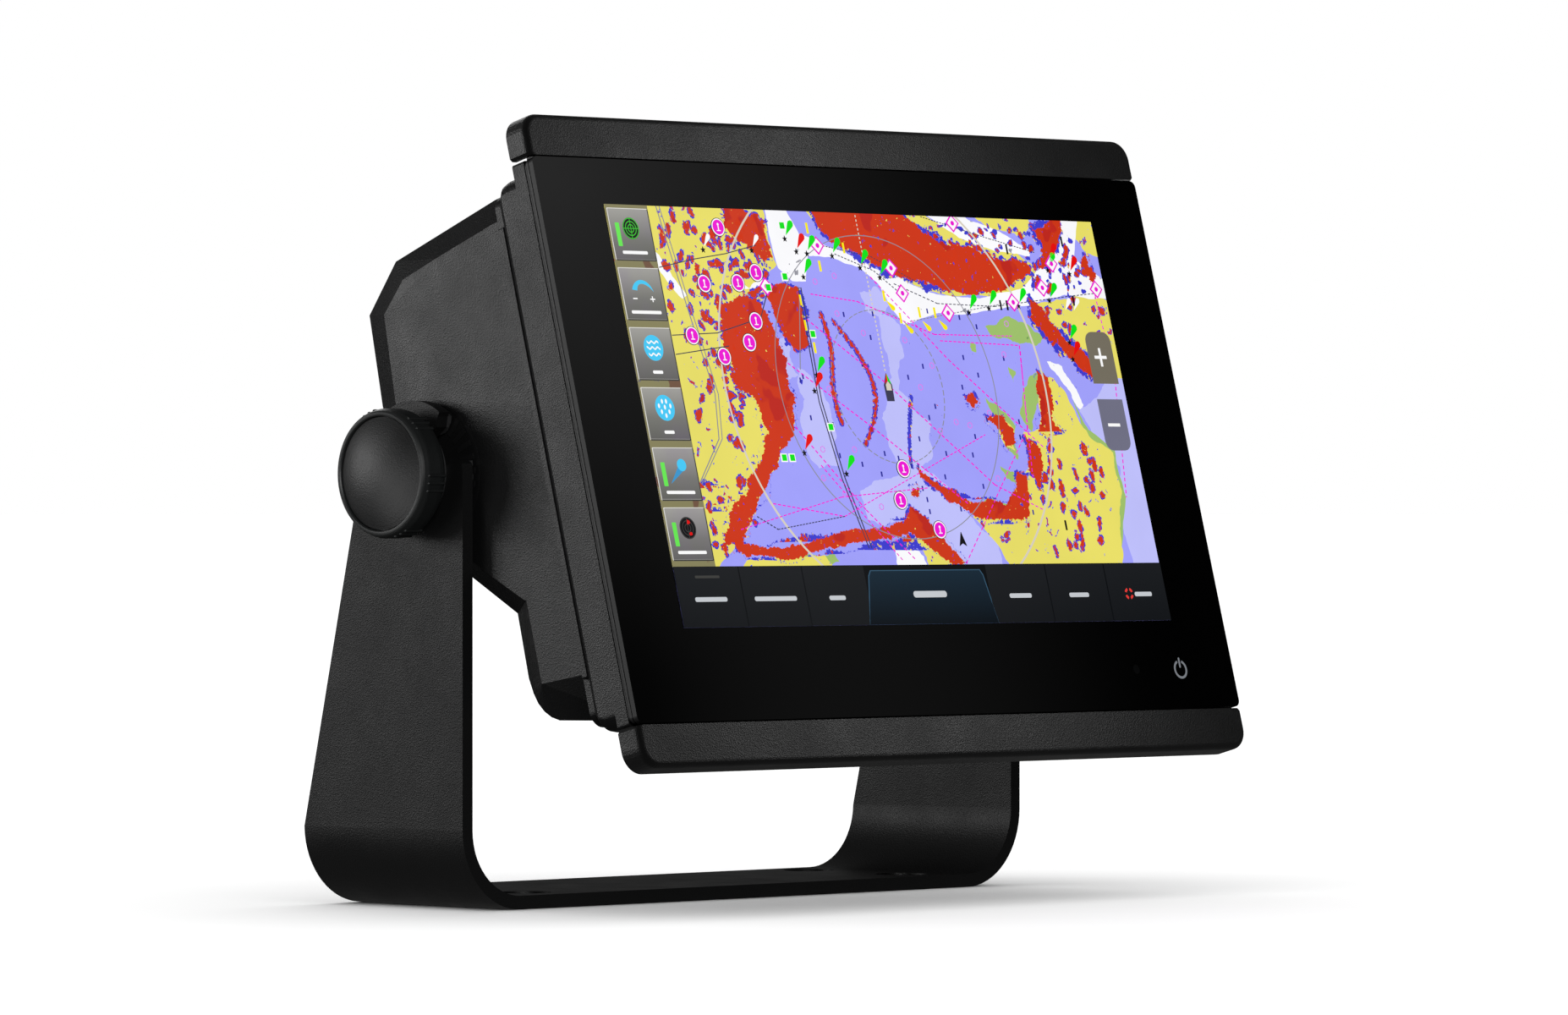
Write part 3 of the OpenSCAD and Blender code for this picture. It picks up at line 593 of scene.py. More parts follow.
def line(points, width, dash=0.0, fill=0.6):
    """Clipped ribbon along a polyline, plain or dashed."""
    quads = []
    for a, b in zip(points[:-1], points[1:]):
        length = math.hypot(b[0] - a[0], b[1] - a[1])
        ux, uz = (b[0] - a[0]) / length, (b[1] - a[1]) / length
        spans = [(0, length)]
        if dash:
            spans = [(i * dash, min(length, (i + fill) * dash))
                     for i in range(int(length / dash) + 1) if i * dash < length - 0.2]
        for begin, end in spans:
            quads.append([(a[0] + ux * s - side * uz * width / 2,
                           a[1] + uz * s + side * ux * width / 2)
                          for s, side in ((begin, 1), (begin, -1), (end, -1), (end, 1))])
    return clipped_all(quads, LINES_LEFT)


def lines(*rows):
    """Ribbons from rows of (width, dash length or 0, points)."""
    return [quad for width, dash, points in rows for quad in line(points, width, dash)]


def rect(x0, x1, z0, z1):
    return [(x0, z0), (x1, z0), (x1, z1), (x0, z1)]


def centred(x, z, half_x, half_z):
    return rect(x - half_x, x + half_x, z - half_z, z + half_z)


def round_rect(x0, x1, z0, z1, radius, rounded=(1, 1, 1, 1)):
    """Rectangle with rounded corners, anticlockwise from the lower left."""
    corners = ((x0, z0, -1, -1, 180), (x1, z0, 1, -1, 270), (x1, z1, 1, 1, 0), (x0, z1, -1, 1, 90))
    points = []
    for (x, z, side_x, side_z, start), is_round in zip(corners, rounded):
        if is_round:
            points += arc(x - side_x * radius, z - side_z * radius, radius, start, start + 90, 5)
        else:
            points.append((x, z))
    return points


def diamond(x, z, radius):
    return clipped([(x - radius, z), (x, z - radius), (x + radius, z), (x, z + radius)])


def teardrop(x, z, length=5.8, half_width=1.2, lean=-38):
    """Teardrop buoy with its foot at x, z, leaning `lean` degrees from upright."""
    angle = math.radians(90 + lean)
    ux, uz = math.cos(angle), math.sin(angle)
    # share of the length, share of the half width
    profile = [(0, 0), (0.35, 0.45), (0.65, 0.85), (0.82, 1.0), (0.95, 0.62), (1.0, 0.0)]
    sides = [(t, s) for t, s in profile] + [(t, -s) for t, s in profile[-2:0:-1]]
    return clipped([(x + ux * length * t - uz * half_width * s,
                     z + uz * length * t + ux * half_width * s) for t, s in sides])


def star(x, z, radius=1.1):
    reach = (radius, radius * 0.42)
    return clipped([(x + reach[i % 2] * math.sin(math.pi * i / 5),
                     z + reach[i % 2] * math.cos(math.pi * i / 5)) for i in range(10)])


# ---------------------------------------------------------------- chart areas
# each row: outline, roughness as a share of edge length, random seed
LAND = [
    ([(-112, 64), (-40, 64), (-40, 50), (-38.5, 43), (-46, 39), (-46, 33), (-50, 29), (-46, 22),
      (-44.5, 14), (-44, -7), (-52, -14), (-62, -26), (-70, -36), (-78, -44), (-89, -52),
      (-112, -55)], 0.10, 3),
    ([(-24, 64), (27, 64), (46, 55), (70, 50), (77, 46), (84, 41), (70, 37.5), (40, 34.5),
      (24, 37), (10, 43), (-4, 50), (-17, 55)], 0.06, 4),
    ([(80, 64), (48, 64), (60, 56.5), (76, 54), (80, 58)], 0.10, 5),
    ([(96, 64), (112, 64), (112, 48), (104, 50), (99, 56)], 0.12, 6),
    ([(72, 33), (86, 34.5), (100, 37), (112, 34), (112, 9), (104, 9), (96, 11.5), (88, 15),
      (80, 22), (72.5, 28)], 0.08, 7),
    ([(71, 10), (77, 8.5), (84, -2), (88.5, -10.5), (98, -15.5), (98.5, -28), (94, -40),
      (90, -55), (42, -55), (35, -44), (27.5, -36), (40, -34), (48, -36), (52, -25), (59, -20),
      (58, -9), (66, -8), (68, 2)], 0.09, 8),
    ([(43, -4), (50, -4), (54, -8), (52.5, -15), (47, -11)], 0.2, 9),
    ([(-76, -49.5), (-58, -48.5), (-42, -48), (-37, -55), (-80, -55)], 0.08, 10),
    ([(-2, -42), (6, -44), (14, -48), (22, -55), (4, -55), (2, -47)], 0.12, 11),
]
SHALLOW = [
    ([(-4, 35), (4, 37), (8, 31), (3, 27), (-3, 29)], 0.16, 21),
    ([(3, 28), (11, 25), (10.5, 15), (5, 4), (10, -2), (16.5, -6), (14.5, -17), (6, -20.5),
      (0, -22), (-5, -5), (-1, 1), (3, 8), (2, 18)], 0.14, 22),
    ([(-21, -28), (-6, -24), (8, -20), (25, -34), (36, -44), (37, -55), (12, -49), (0, -38),
      (-14, -39), (-20, -37)], 0.10, 23),
    ([(-38, 11), (-30, 5), (-28, -20), (-37, -21), (-41, -9)], 0.16, 24),
    ([(86, -2), (94, 2), (112, 12), (112, -55), (97, -55), (100, -20), (90, -11)], 0.10, 25),
    ([(-45, 20), (-40, 19), (-38, 8), (-44, 6)], 0.18, 26),
]
CHANNEL = [
    ([(-39, 64), (-31, 64), (-26, 53), (-10, 48.5), (4, 43), (14, 40.5), (28, 35.5), (50, 34),
      (70, 37.5), (77, 42), (92, 53), (97, 64), (104, 64), (98, 48), (112, 40), (112, 35),
      (90, 36), (72, 32), (60, 31), (30, 29), (13, 25), (9, 30), (5, 38), (-2, 43), (-14, 46),
      (-24, 46), (-27, 38), (-33, 38), (-38, 42)], 0.035, 31),
    ([(-92, 48), (-88.5, 45), (-80, 32.5), (-82, 31.5), (-86.5, 36), (-92, 43)], 0.06, 32),
    ([(75.5, 14), (82, 12.5), (88.5, 0), (86.5, -1.5), (80, 8.5)], 0.12, 33),
    ([(-11, -46), (0, -47), (4, -55), (-9, -55)], 0.14, 34),
    ([(25, 64), (36, 64), (78, 50.5), (77, 48), (46, 53.5)], 0.05, 35),
    ([(-50, 34), (-45, 35), (-46, 38), (-62, 36.5)], 0.15, 36),
]
DRYING = [
    ([(50, 25), (62, 28.5), (70, 26), (76, 22), (72, 19), (60, 21), (52, 22)], 0.14, 41),
    ([(65, 8), (72, 11.5), (76.5, 8), (70, 2), (62, -9), (58, -3)], 0.14, 42),
    ([(43.5, 2), (48, 0), (55, -7), (53, -18), (48, -13), (50.5, -8)], 0.14, 43),
    ([(26, -33), (36, -30), (48, -34), (50.5, -27), (53, -34), (40, -38.5), (28, -37)], 0.12, 44),
    ([(84, 1.5), (88.5, -8), (99, -14.5), (99.8, -30), (95, -42), (91, -55), (88, -55),
      (94, -38), (96.5, -28), (95.5, -17), (86, -10)], 0.05, 45),
    ([(41.5, 19.5), (44, 19), (43.5, 16.5), (41.5, 17)], 0.2, 46),
    ([(44, -20), (50, -22), (50, -26), (46, -24)], 0.2, 47),
    ([(-68, -49.6), (-38, -47), (-36, -50), (-60, -52)], 0.1, 48),
    ([(2, -28), (6, -26), (5, -30)], 0.2, 49),
    ([(57, 12), (60, 10.5), (58, 7)], 0.2, 50),
]
ECHO = [
    ([(-68, 30), (-50, 32), (-45, 22), (-43.5, 4), (-41.5, 1), (-44.5, -8), (-52, -15),
      (-60, -24.5), (-68, -33), (-75, -42.5), (-85, -45), (-80, -36), (-70, -28.5),
      (-62, -18.5), (-56, -10), (-59, 1), (-66, 4), (-68, 16)], 0.14, 51),
    ([(-21, 64), (15, 64), (28, 57), (40, 51), (60, 47), (77, 44.5), (72, 41), (50, 36),
      (34, 36), (20, 39), (6, 44), (-6, 49), (-16, 54)], 0.10, 52),
    ([(-45, 35), (-36, 37), (-31, 36), (-31, 18), (-36, 16), (-42, 22)], 0.10, 53),
    ([(-84, -41), (-76, -44.5), (-66, -46), (-40, -42.5), (-12, -39.5), (-3, -36.5), (0, -32.5),
      (5, -36), (12, -43), (20, -51), (14, -51.5), (5, -46), (-2, -41), (-14, -43),
      (-40, -45.7), (-62, -49), (-76, -48.5)], 0.07, 54),
    ([(6, -20.5), (16, -26.5), (28, -31.5), (44, -32.5), (50, -27), (51, -22), (56, -23),
      (53, -36), (46, -37.5), (28, -36), (16, -30), (9, -25)], 0.09, 55),
    ([(70, 11), (74, 9), (72.5, -4), (76.5, -9), (69, -11), (65, -8.5), (68.5, 2)], 0.14, 56),
    ([(73, 35), (78, 31), (84, 24), (92, 18), (100, 13), (98, 8.5), (88, 14), (78, 21),
      (72, 28)], 0.12, 57),
    ([(42, -4), (50, -4.5), (53.5, -12), (48, -14)], 0.18, 58),
    ([(34, 2.5), (38, 3.5), (40, 1), (38, -1.5), (35.5, 0)], 0.2, 59),
    ([(80, 44), (84, 52), (80, 58), (90, 61), (95, 61), (92, 54), (86, 46)], 0.18, 60),
    ([(-56, 64), (-46, 58), (-39.5, 57), (-40, 45), (-48, 47), (-58, 54)], 0.18, 61),
    ([(58, -10), (62, -12), (61, -28), (57, -21)], 0.18, 62),
    ([(-90, -26), (-83, -27), (-78, -30), (-84, -33), (-90, -31)], 0.2, 63),
    ([(101, 47), (105, 40), (106, 44), (103, 50)], 0.2, 64),
    ([(2, -26.5), (5, -27), (4, -30), (1.5, -29)], 0.2, 65),
]

# one generator feeds the scattered spots, then the flecks, then the ticks
scatter_draw = random.Random(77)
EVEN, BELL = scatter_draw.uniform, scatter_draw.gauss


def scattered(rows):
    return [blob(draw_x(*x_pair), EVEN(*z_span), EVEN(*half_x), EVEN(*half_z), seed + i,
                 EVEN(*turn))
            for count, seed, draw_x, x_pair, z_span, half_x, half_z, turn in rows
            for i in range(count)]


spots = []
for i in range(16):
    t = i / 15.0
    spots.append(blob(-23 + 1.3 * math.sin(6 * t), 27 - 33 * t, 0.8, 1.3, 700 + i, 0.2))
for i in range(18):
    t = i / 17.0
    spots.append(blob(-19 + 12 * math.sin(math.pi * t * 0.9) + 1.0, 25 - 38 * t, 0.7, 1.3,
                      740 + i, -0.6 if t > 0.6 else 0.5))
# count, first seed, how x is drawn, x span (or mean and deviation), z span,
# half width span, half height span, turn span in radians
spots += scattered([
    (60, 800, EVEN, (-88, -66), (-48, 59), (0.5, 1.2), (0.8, 2.4), (-0.6, 0.6)),
    (34, 900, EVEN, (60, 92), (-50, -12), (0.5, 1.2), (0.8, 2.6), (-0.3, 0.3)),
    (26, 950, EVEN, (80, 107), (12, 59), (0.4, 1.1), (0.6, 1.8), (-0.6, 0.2)),
    (44, 1200, BELL, (-67.5, 2.6), (-6, 38), (0.4, 1.3), (0.4, 1.5), (-0.5, 0.5)),
    (46, 1260, EVEN, (-67, -43), (33, 59), (0.5, 1.7), (0.5, 1.9), (-0.6, 0.6)),
    (34, 1320, EVEN, (28, 76), (44, 57), (0.4, 1.5), (0.3, 1.0), (-0.9, -0.2)),
    (26, 1370, EVEN, (74, 98), (37, 59), (0.4, 1.0), (0.6, 1.6), (-0.6, 0.2)),
])
spots = clipped_all(spots, SPOTS_LEFT)

flecks = []
for i in range(24):
    t = i / 23.0
    flecks.append(blob(4 + 6 * (1 - t) ** 1.5, 2 - 22 * t, 0.5, 1.2, 1000 + i, 0.5))
flecks += scattered([
    (46, 1040, EVEN, (4, 66), (41, 58), (0.5, 1.8), (0.4, 1.2), (-0.5, 0.3)),
    (40, 1100, BELL, (-57, 9), (-2, 56), (0.3, 1.0), (0.3, 1.0), (-0.5, 0.5)),
    (40, 1150, EVEN, (60, 100), (36, 59), (0.4, 1.2), (0.4, 1.2), (-0.8, 0.2)),
])
flecks = clipped_all(flecks, SPOTS_LEFT)

plates('screen_water', 1, 'chart_water', [rect(LEFT, RIGHT, BOTTOM, TOP)])
for name, layer, ink, rows in (('screen_shallow', 2, 'chart_shallow', SHALLOW),
                               ('screen_green', 3, 'chart_drying', DRYING),
                               ('screen_land', 4, 'chart_land', LAND),
                               ('screen_channel', 5, 'chart_channel', CHANNEL)):
    plates(name, layer, ink, [coast(*row) for row in rows])

fringes = [(clipped(grow(outline, 0.7)), amount, seed) for outline, amount, seed in ECHO]
plates('screen_echo_fringe', 6, 'chart_echo_fringe',
       [coast(outline, min(0.22, amount * 1.6), seed + 200, step=0.55, jag=3.0)
        for outline, amount, seed in fringes if len(outline) > 2]
       + flecks
       + [coast(grow(spot, 0.45), 0.2, 6000 + i, step=0.6, jag=1.0)
          for i, spot in enumerate(spots)])
plates('screen_echo', 7, 'chart_echo',
       [coast(outline, amount, seed + 100, step=0.55, jag=2.2)
        for outline, amount, seed in ECHO]
       + [coast(spot, 0.2, 5000 + i, step=0.6, jag=0.8) for i, spot in enumerate(spots)])
ticks = [(EVEN(-38, 58), EVEN(-38, 31)) for i in range(46)]
plates('screen_depth_ticks', 8, 'line_navy', [centred(x, z, 0.28, 0.8) for x, z in ticks])

# ---------------------------------------------------------------- rings, lines and tracks
RINGS_X, RINGS_Z = 0.5, 5.0
plates('screen_rings', 8, 'line_grey',
       ring(RINGS_X, RINGS_Z, 24.4, 0.28, parts=60, fill=0.7, steps=4)
       + ring(RINGS_X, RINGS_Z, 48.2, 0.28)
       + lines((0.35, 0, [(-86, 60.3), (-81, 30), (-76, 2), (-78, -12), (-90, -26)]),
               (0.3, 0, [(-84.6, 60.3), (-79.6, 30), (-74.6, 2), (-76.6, -12), (-89, -26)]),
               (0.3, 0, [(-37, 10), (-31, 34)]),
               (0.3, 1.6, [(16, 26), (64, 33)])))
plates('screen_ring_outer', 9, 'line_pale',
       ring(RINGS_X, RINGS_Z, 71.6, 0.7)
       + line([(0.5, 10), (0.5, 60.3)], 0.4, dash=1.4, fill=0.5))
plates('screen_lines_dark', 10, 'line_dark', lines(
    (0.3, 0, [(-90, 41), (-74, 44), (-60, 46), (-46, 49)]),
    (0.3, 0, [(-90, 20), (-70, 21), (-50, 26), (-45, 34)]),
    (0.3, 0, [(-90, 14), (-66, 17)]),
    (0.3, 0, [(-31, 36), (-31.5, 0), (-28, -24), (-22, -46)]),
    (0.3, 0, [(-29.8, 36), (-30.3, 0), (-26.6, -24), (-20.8, -46)]),
    (0.28, 1.8, [(12, 38), (30, 32), (56, 31.5), (92, 35.5), (108, 37)]),
    (0.28, 1.4, [(-12, 47), (4, 42), (14, 35)]),
    (0.25, 1.2, [(-20, 50), (4, 46.5), (22, 39)]),
    (0.3, 1.4, [(-68, -36), (-60, -40), (-30, -36)]),
    (0.25, 1.2, [(30, 60), (60, 53.5), (80, 49.5)])))
plates('screen_tracks', 10, 'mark_magenta', lines(
    (0.32, 2.0, [(-42, 12), (-10, -8), (26, -32)]),
    (0.32, 2.0, [(-30, 26), (0, 6), (40, -26), (60, -34)]),
    (0.32, 2.0, [(2, 40), (30, 14), (66, -14)]),
    (0.32, 2.0, [(-44, -8), (-20, -34), (-2, -50)]),
    (0.32, 2.0, [(-60, -32), (-30, -36), (40, -10)]),
    (0.32, 2.0, [(28, 20), (64, 19), (58, -24)]),
    (0.32, 2.0, [(-76, -40), (-30, -30), (10, -27)]),
    (0.3, 2.4, [(20, -51), (60, -8), (64, 18)]),
    (0.32, 1.8, [(-26, 34), (-6, 32), (26, 22), (62, 22)]),
    (0.32, 2.0, [(104, 40), (106, 10), (100, -30)]),
    (0.3, 1.8, [(-36, -20), (-8, -50)])))
SMALL_RINGS = [
    (-23, 38), (-16, 28), (-6, 22), (12, 20), (22, 12), (15, 5), (34, -7), (-34, -15),
    (-36, -24), (-20, -15), (22, 22), (30, 22), (42, -24), (-26, 4), (-14, 40), (60, 26),
    (-13, -33), (44, -3), (56, 16), (-28, -29), (20, -9), (28, -6)]
plates('screen_areas', 10, 'line_pink',
       [strip for x, z in SMALL_RINGS
        for strip in ring(x, z, 0.9, 0.22, parts=6, fill=0.8, steps=4)])

# ---------------------------------------------------------------- chart marks
ROUND_MARKS = [
    (-61, 54.3), (-48.3, 40.3), (-57, 36.9), (-71.6, 36.4), (-52.4, 25), (-81, 20),
    (-57, 18.2), (-69, 13.7), (0, -21), (-4, -31), (11, -40.3)]
for name, layer, ink, radius in (('mark_rims', 11, 'mark_black', 2.95),
                                 ('mark_rings', 12, 'mark_white', 2.75),
                                 ('mark_discs', 13, 'mark_magenta', 2.35)):
    plates(name, layer, ink, [disc(x, z, radius) for x, z in ROUND_MARKS])
plates('mark_pips', 14, 'mark_white', [
    part for x, z in ROUND_MARKS
    for part in (rect(x - 0.2, x + 0.2, z - 1.0, z + 0.6), disc(x, z + 0.9, 0.4, 12),
                 rect(x - 0.8, x + 0.8, z - 1.25, z - 0.95))])

DIAMONDS = [(-45, 36), (12, 43), (15, 35), (34, 29), (44, 58.2), (65, 33), (80, 38),
            (86.5, 46), (105.3, 38), (-19, 49.5)]
plates('mark_diamonds', 11, 'mark_magenta', [diamond(x, z, 3.0) for x, z in DIAMONDS])
plates('mark_diamond_fills', 12, 'mark_white', [diamond(x, z, 2.3) for x, z in DIAMONDS])
plates('mark_diamond_dots', 13, 'mark_magenta', [disc(x, z, 0.8, 16) for x, z in DIAMONDS])

SQUARES = [(-33, 55.5), (-36, 39.3), (-44.2, 35.7), (-28.6, 21.3), (-28.6, -8),
           (-51.5, -17.7), (-48, -17.7)]
plates('mark_squares', 12, 'mark_white', [centred(x, z, 1.3, 1.3) for x, z in SQUARES])
plates('mark_square_fills', 14, 'mark_green', [centred(x, z, 1.0, 1.0) for x, z in SQUARES])

GREEN_BUOYS = [
    (-32, 52.5), (-23.5, 48), (-27, 40.5), (-12.5, 47.5), (-1, 44), (7, 41), (44.5, 30.5),
    (54, 32), (68, 33), (83, 35), (85, 45), (-29.5, 9.5), (-24.8, -21.5), (88.5, 21.5)]
RED_BUOYS = [(-28, 48.5), (-31.8, 4.5), (-41.5, -15), (88.5, 16), (95, 44), (86.5, 48)]
YELLOW_BUOYS = [(7.2, 32.5), (13.5, 25.3), (21.8, 26.2), (29.2, 26.7)]
PALE_BUOYS = [(-47.5, 48.5), (-68.5, 48.2), (93, 31), (89, 31)]
POSTS = [(67, 50.3), (93.5, 53.5), (59, 32), (62, 32), (93.5, 34), (69, -39)]
BEACONS = [(-22, 55), (-19.5, 43), (-7.5, 49), (6.5, 34), (12, 27), (21, 29), (28, 29),
           (-28.8, 17), (-31, 24), (-31, 32)]
plates('buoys_green', 12, 'mark_green', [teardrop(x, z) for x, z in GREEN_BUOYS])
plates('buoys_red', 12, 'mark_red', [teardrop(x, z) for x, z in RED_BUOYS])
plates('buoys_yellow', 12, 'mark_yellow',
       [teardrop(x, z, length=4.2, half_width=0.8, lean=-135) for x, z in YELLOW_BUOYS])
plates('buoys_pale', 12, 'mark_white',
       [teardrop(x, z, length=4.8, half_width=0.85) for x, z in PALE_BUOYS])
plates('buoy_feet', 11, 'mark_black',
       [star(x - 0.8, z - 1.2) for x, z in GREEN_BUOYS + RED_BUOYS + PALE_BUOYS[:2]]
       + [centred(x, z, 0.35, 1.6) for x, z in POSTS])
plates('beacons', 11, 'mark_yellow', [centred(x, z, 0.4, 1.7) for x, z in BEACONS])

plates('own_ship', 13, 'line_dark',
       [[(-1.1, 0.4), (2.0, 0.4), (2.2, 5.5), (0.5, 9.3), (-1.3, 5.5)]])
plates('own_ship_deck', 14, 'line_pale',
       [[(-0.6, 3.8), (1.6, 3.8), (1.6, 5.6), (0.5, 6.8), (-0.6, 5.6)]])
plates('own_ship_bow_green', 15, 'mark_green', [[(0.5, 9.2), (0.5, 7.0), (1.9, 5.8)]])
plates('own_ship_bow_red', 15, 'mark_red', [[(0.5, 9.2), (-0.9, 5.8), (0.5, 7.0)]])
plates('north_arrow', 12, 'mark_black',
       [[(18.6, -45.5), (20.2, -41), (21.8, -45.5), (20.2, -44.6)]])

# ---------------------------------------------------------------- side keys
# key centres from the top; each is named after its icon
KEY_Z = RADAR_Z, ARC_Z, WAVES_Z, DROPS_Z, TRAIL_Z, SCOPE_Z = 51.0, 32.5, 14.0, -4.5, -23.0, -41.4
LABEL_WIDTHS = (10.5, 12.5, 4.2, 4.2, 12, 12)
ICON_X = -98.7
ICON_RISE = 1.9                 # icon centre above key centre
plates('keys_back', 16, 'chart_dimmed', [rect(LEFT, KEYS_RIGHT, CHART_BOTTOM, TOP)])
# layer name, layer, ink, x from, x to, reach below and above the key centre
for name, layer, ink, x0, x1, below, above in (
        ('keys_light', 17, 'button_edge', -107.4, -90.4, 8.0, 8.2),
        ('keys_dark', 18, 'button_shade', -107.1, -90.1, 8.2, 7.95),
        ('keys_face', 19, 'key_face', -107.1, -90.5, 7.8, 7.95)):
    plates(name, layer, ink, [round_rect(x0, x1, z - below, z + above, 0.3) for z in KEY_Z])
plates('key_labels', 20, 'mark_white',
       [round_rect(ICON_X - width / 2, ICON_X + width / 2, z - 6.1, z - 5.1, 0.4)
        for z, width in zip(KEY_Z, LABEL_WIDTHS)])
plates('key_bars', 20, 'key_bar_green',
       [round_rect(-105.1, -103.4, z - 3.7, z + 3.6, 0.2) for z in (RADAR_Z, TRAIL_Z, SCOPE_Z)])

# blue discs with waves and drops
plates('icon_discs', 20, 'icon_cyan',
       [disc(ICON_X, z + ICON_RISE, 4.0, 40) for z in (WAVES_Z, DROPS_Z)])
WAVE_HALF, WAVE_STEP = 3.2, 0.4
waves = []
for dz, half in ((-1.6, 2.5), (0.4, WAVE_HALF), (2.2, 2.5)):
    crest = [(ICON_X - WAVE_HALF + WAVE_STEP * i,
              WAVES_Z + 1.7 + dz + 0.35 * math.sin(i * WAVE_STEP * 2.9)) for i in range(17)]
    crest = [p for p in crest if abs(p[0] - ICON_X) <= half]
    waves.append(crest + [(x, z - 0.55) for x, z in crest[::-1]])
DROPS = ((-2.4, 0.6), (-0.8, 2.0), (0.9, 2.0), (2.4, 0.6), (-1.6, -1.2), (0, 0.2),
         (1.6, -1.2), (0, -2.4))
plates('icon_white', 21, 'mark_white',
       waves + [blob(ICON_X + dx, DROPS_Z + ICON_RISE + dz, 0.42, 0.75, seed=5, sides=10,
                     uneven=0.0) for dx, dz in DROPS])

# radar and scope
radar_z, scope_z = RADAR_Z + ICON_RISE, SCOPE_Z + ICON_RISE
GRID_RADII, GRID_HALF = (1.2, 2.2, 3.2), 3.1
plates('icon_radar', 20, 'mark_black', [disc(ICON_X, z, 3.4, 36) for z in (radar_z, scope_z)])
plates('icon_radar_grid', 21, 'icon_green',
       [half for radius in GRID_RADII for half in ring_halves(ICON_X, radar_z, radius, 0.3)]
       + [centred(ICON_X, radar_z, GRID_HALF, 0.12), centred(ICON_X, radar_z, 0.12, GRID_HALF)])
plates('icon_scope_grid', 21, 'button_shade',
       [half for radius in GRID_RADII for half in ring_halves(ICON_X, scope_z, radius, 0.24)]
       + [centred(ICON_X, scope_z, 0.1, GRID_HALF)])
plates('icon_scope_echo', 22, 'mark_red',
       [blob(ICON_X + 0.6, scope_z + 1.8, 0.7, 0.7, seed=9),
        blob(ICON_X + 0.9, scope_z - 1.8, 0.6, 0.6, seed=10)])

# arc that thickens to the right's lower end, with a minus and a plus sign
arc_z = ARC_Z + 2.0
inner_arc = [(ICON_X + 0.5 + (2.9 + 1.4 * (160 - a) / 140) * math.cos(math.radians(a)),
              arc_z - 2.2 + (3.9 - 1.0 * (160 - a) / 140) * math.sin(math.radians(a)))
             for a in range(160, 19, -10)]
plates('icon_arc', 20, 'icon_cyan',
       [arc(ICON_X, arc_z - 2.2, 4.6, 160, 20, 14) + inner_arc[::-1]])
plates('icon_arc_signs', 20, 'mark_white',
       [rect(ICON_X - 4.6, ICON_X - 2.8, arc_z - 3.6, arc_z - 3.2),
        rect(ICON_X + 2.6, ICON_X + 4.6, arc_z - 3.7, arc_z - 3.3),
        rect(ICON_X + 3.4, ICON_X + 3.8, arc_z - 4.4, arc_z - 2.6)])
plates('icon_trail', 20, 'icon_trail',
       [[(ICON_X - 3.4, TRAIL_Z - 3.0), (ICON_X + 1.0, TRAIL_Z + 2.6),
         (ICON_X + 3.0, TRAIL_Z + 1.2)]])
plates('icon_trail_head', 21, 'icon_cyan', [disc(ICON_X + 2.4, TRAIL_Z + 2.8, 1.9, 24)])

# ---------------------------------------------------------------- zoom tabs
plates('zoom_in', 16, 'zoom_tab', [round_rect(95.4, 107.0, 7.0, 23.9, 3.2, (0, 0, 1, 1))])
plates('zoom_out', 16, 'zoom_tab_cool',
       [round_rect(95.4, 107.0, -14.8, 1.9, 3.2, (1, 1, 0, 0))])
plates('zoom_signs', 18, 'mark_white',
       [rect(98.0, 103.6, 15.1, 16.1), rect(100.3, 101.3, 16.1, 18.6),
        rect(100.3, 101.3, 12.6, 15.1), rect(98.0, 103.6, -7.0, -6.0)])

# ---------------------------------------------------------------- menu bar
SEGMENTS = [(-107.8, -80.9), (-80.4, -53.8), (-53.3, -26.6), (27.9, 54.8), (55.3, 82.1),
            (82.6, 109.3)]
# label centre x, width
MENU_LABELS = ((-94.5, 13.5), (-67, 18), (-40.3, 7), (41.5, 10), (68.5, 9), (98.5, 8))
plates('menu_base', 16, 'menu_gap', [rect(LEFT, RIGHT, BOTTOM, CHART_BOTTOM)])
plates('menu_segments', 17, 'menu_bar_shade',
       [rect(x0, x1, BOTTOM, CHART_BOTTOM - 0.15) for x0, x1 in SEGMENTS])
plates('menu_home_edge', 17, 'home_edge',
       [[(-28.4, BOTTOM), (29.4, BOTTOM), (26.4, -54.6), (25.2, -52.9), (-23.8, -52.9),
         (-25.0, -54.6)]])
plates('menu_home_tab', 18, 'menu_home_shade',
       [[(-28.1, BOTTOM), (29.1, BOTTOM), (26.0, -54.8), (24.9, -53.2), (-23.5, -53.2),
         (-24.6, -54.8)]])
plates('menu_labels', 20, 'menu_label',
       [round_rect(x - width / 2, x + width / 2, -62.1, -60.7, 0.6) for x, width in MENU_LABELS]
       + [round_rect(-6.6, 8.2, -61.6, -59.6, 0.9)])
plates('menu_grip', 20, 'button_shade', [round_rect(-99.6, -89.3, -54.9, -54.1, 0.3)])
plates('menu_alert', 20, 'alert_red',
       [band(91.9, -61.2, 1.5, 0.8, start, start + 50, 8) for start in (20, 110, 200, 290)])

# power symbol and light sensor on the black border
POWER_X = 109.4
plates('power_symbol', 2, 'printed_symbol_painted_glow',
       [band(POWER_X, -85.8, 2.65, 0.75, 112, 428, 30),
        round_rect(POWER_X - 0.36, POWER_X + 0.36, -85.3, -82.0, 0.35)])
plates('sensor_window', 2, 'sensor_window', [disc(88.6, -85.5, 1.45)])


# ---------------------------------------------------------------- camera and floor
def facing(direction):
    """Rotation that points a camera or light along a direction."""
    return Vector(direction).to_track_quat('-Z', 'Y').to_euler()


camera_data = bpy.data.cameras.new('Camera')
camera_data.lens = 186.47
camera_data.sensor_width = 36.0
camera_data.clip_end = 400.0
camera = add_object('Camera', camera_data)
camera.location = (-1.8100, -1.7824, 0.1239)
camera.rotation_euler = facing((0.7197, 0.6943, -0.001))
bpy.context.scene.camera = camera

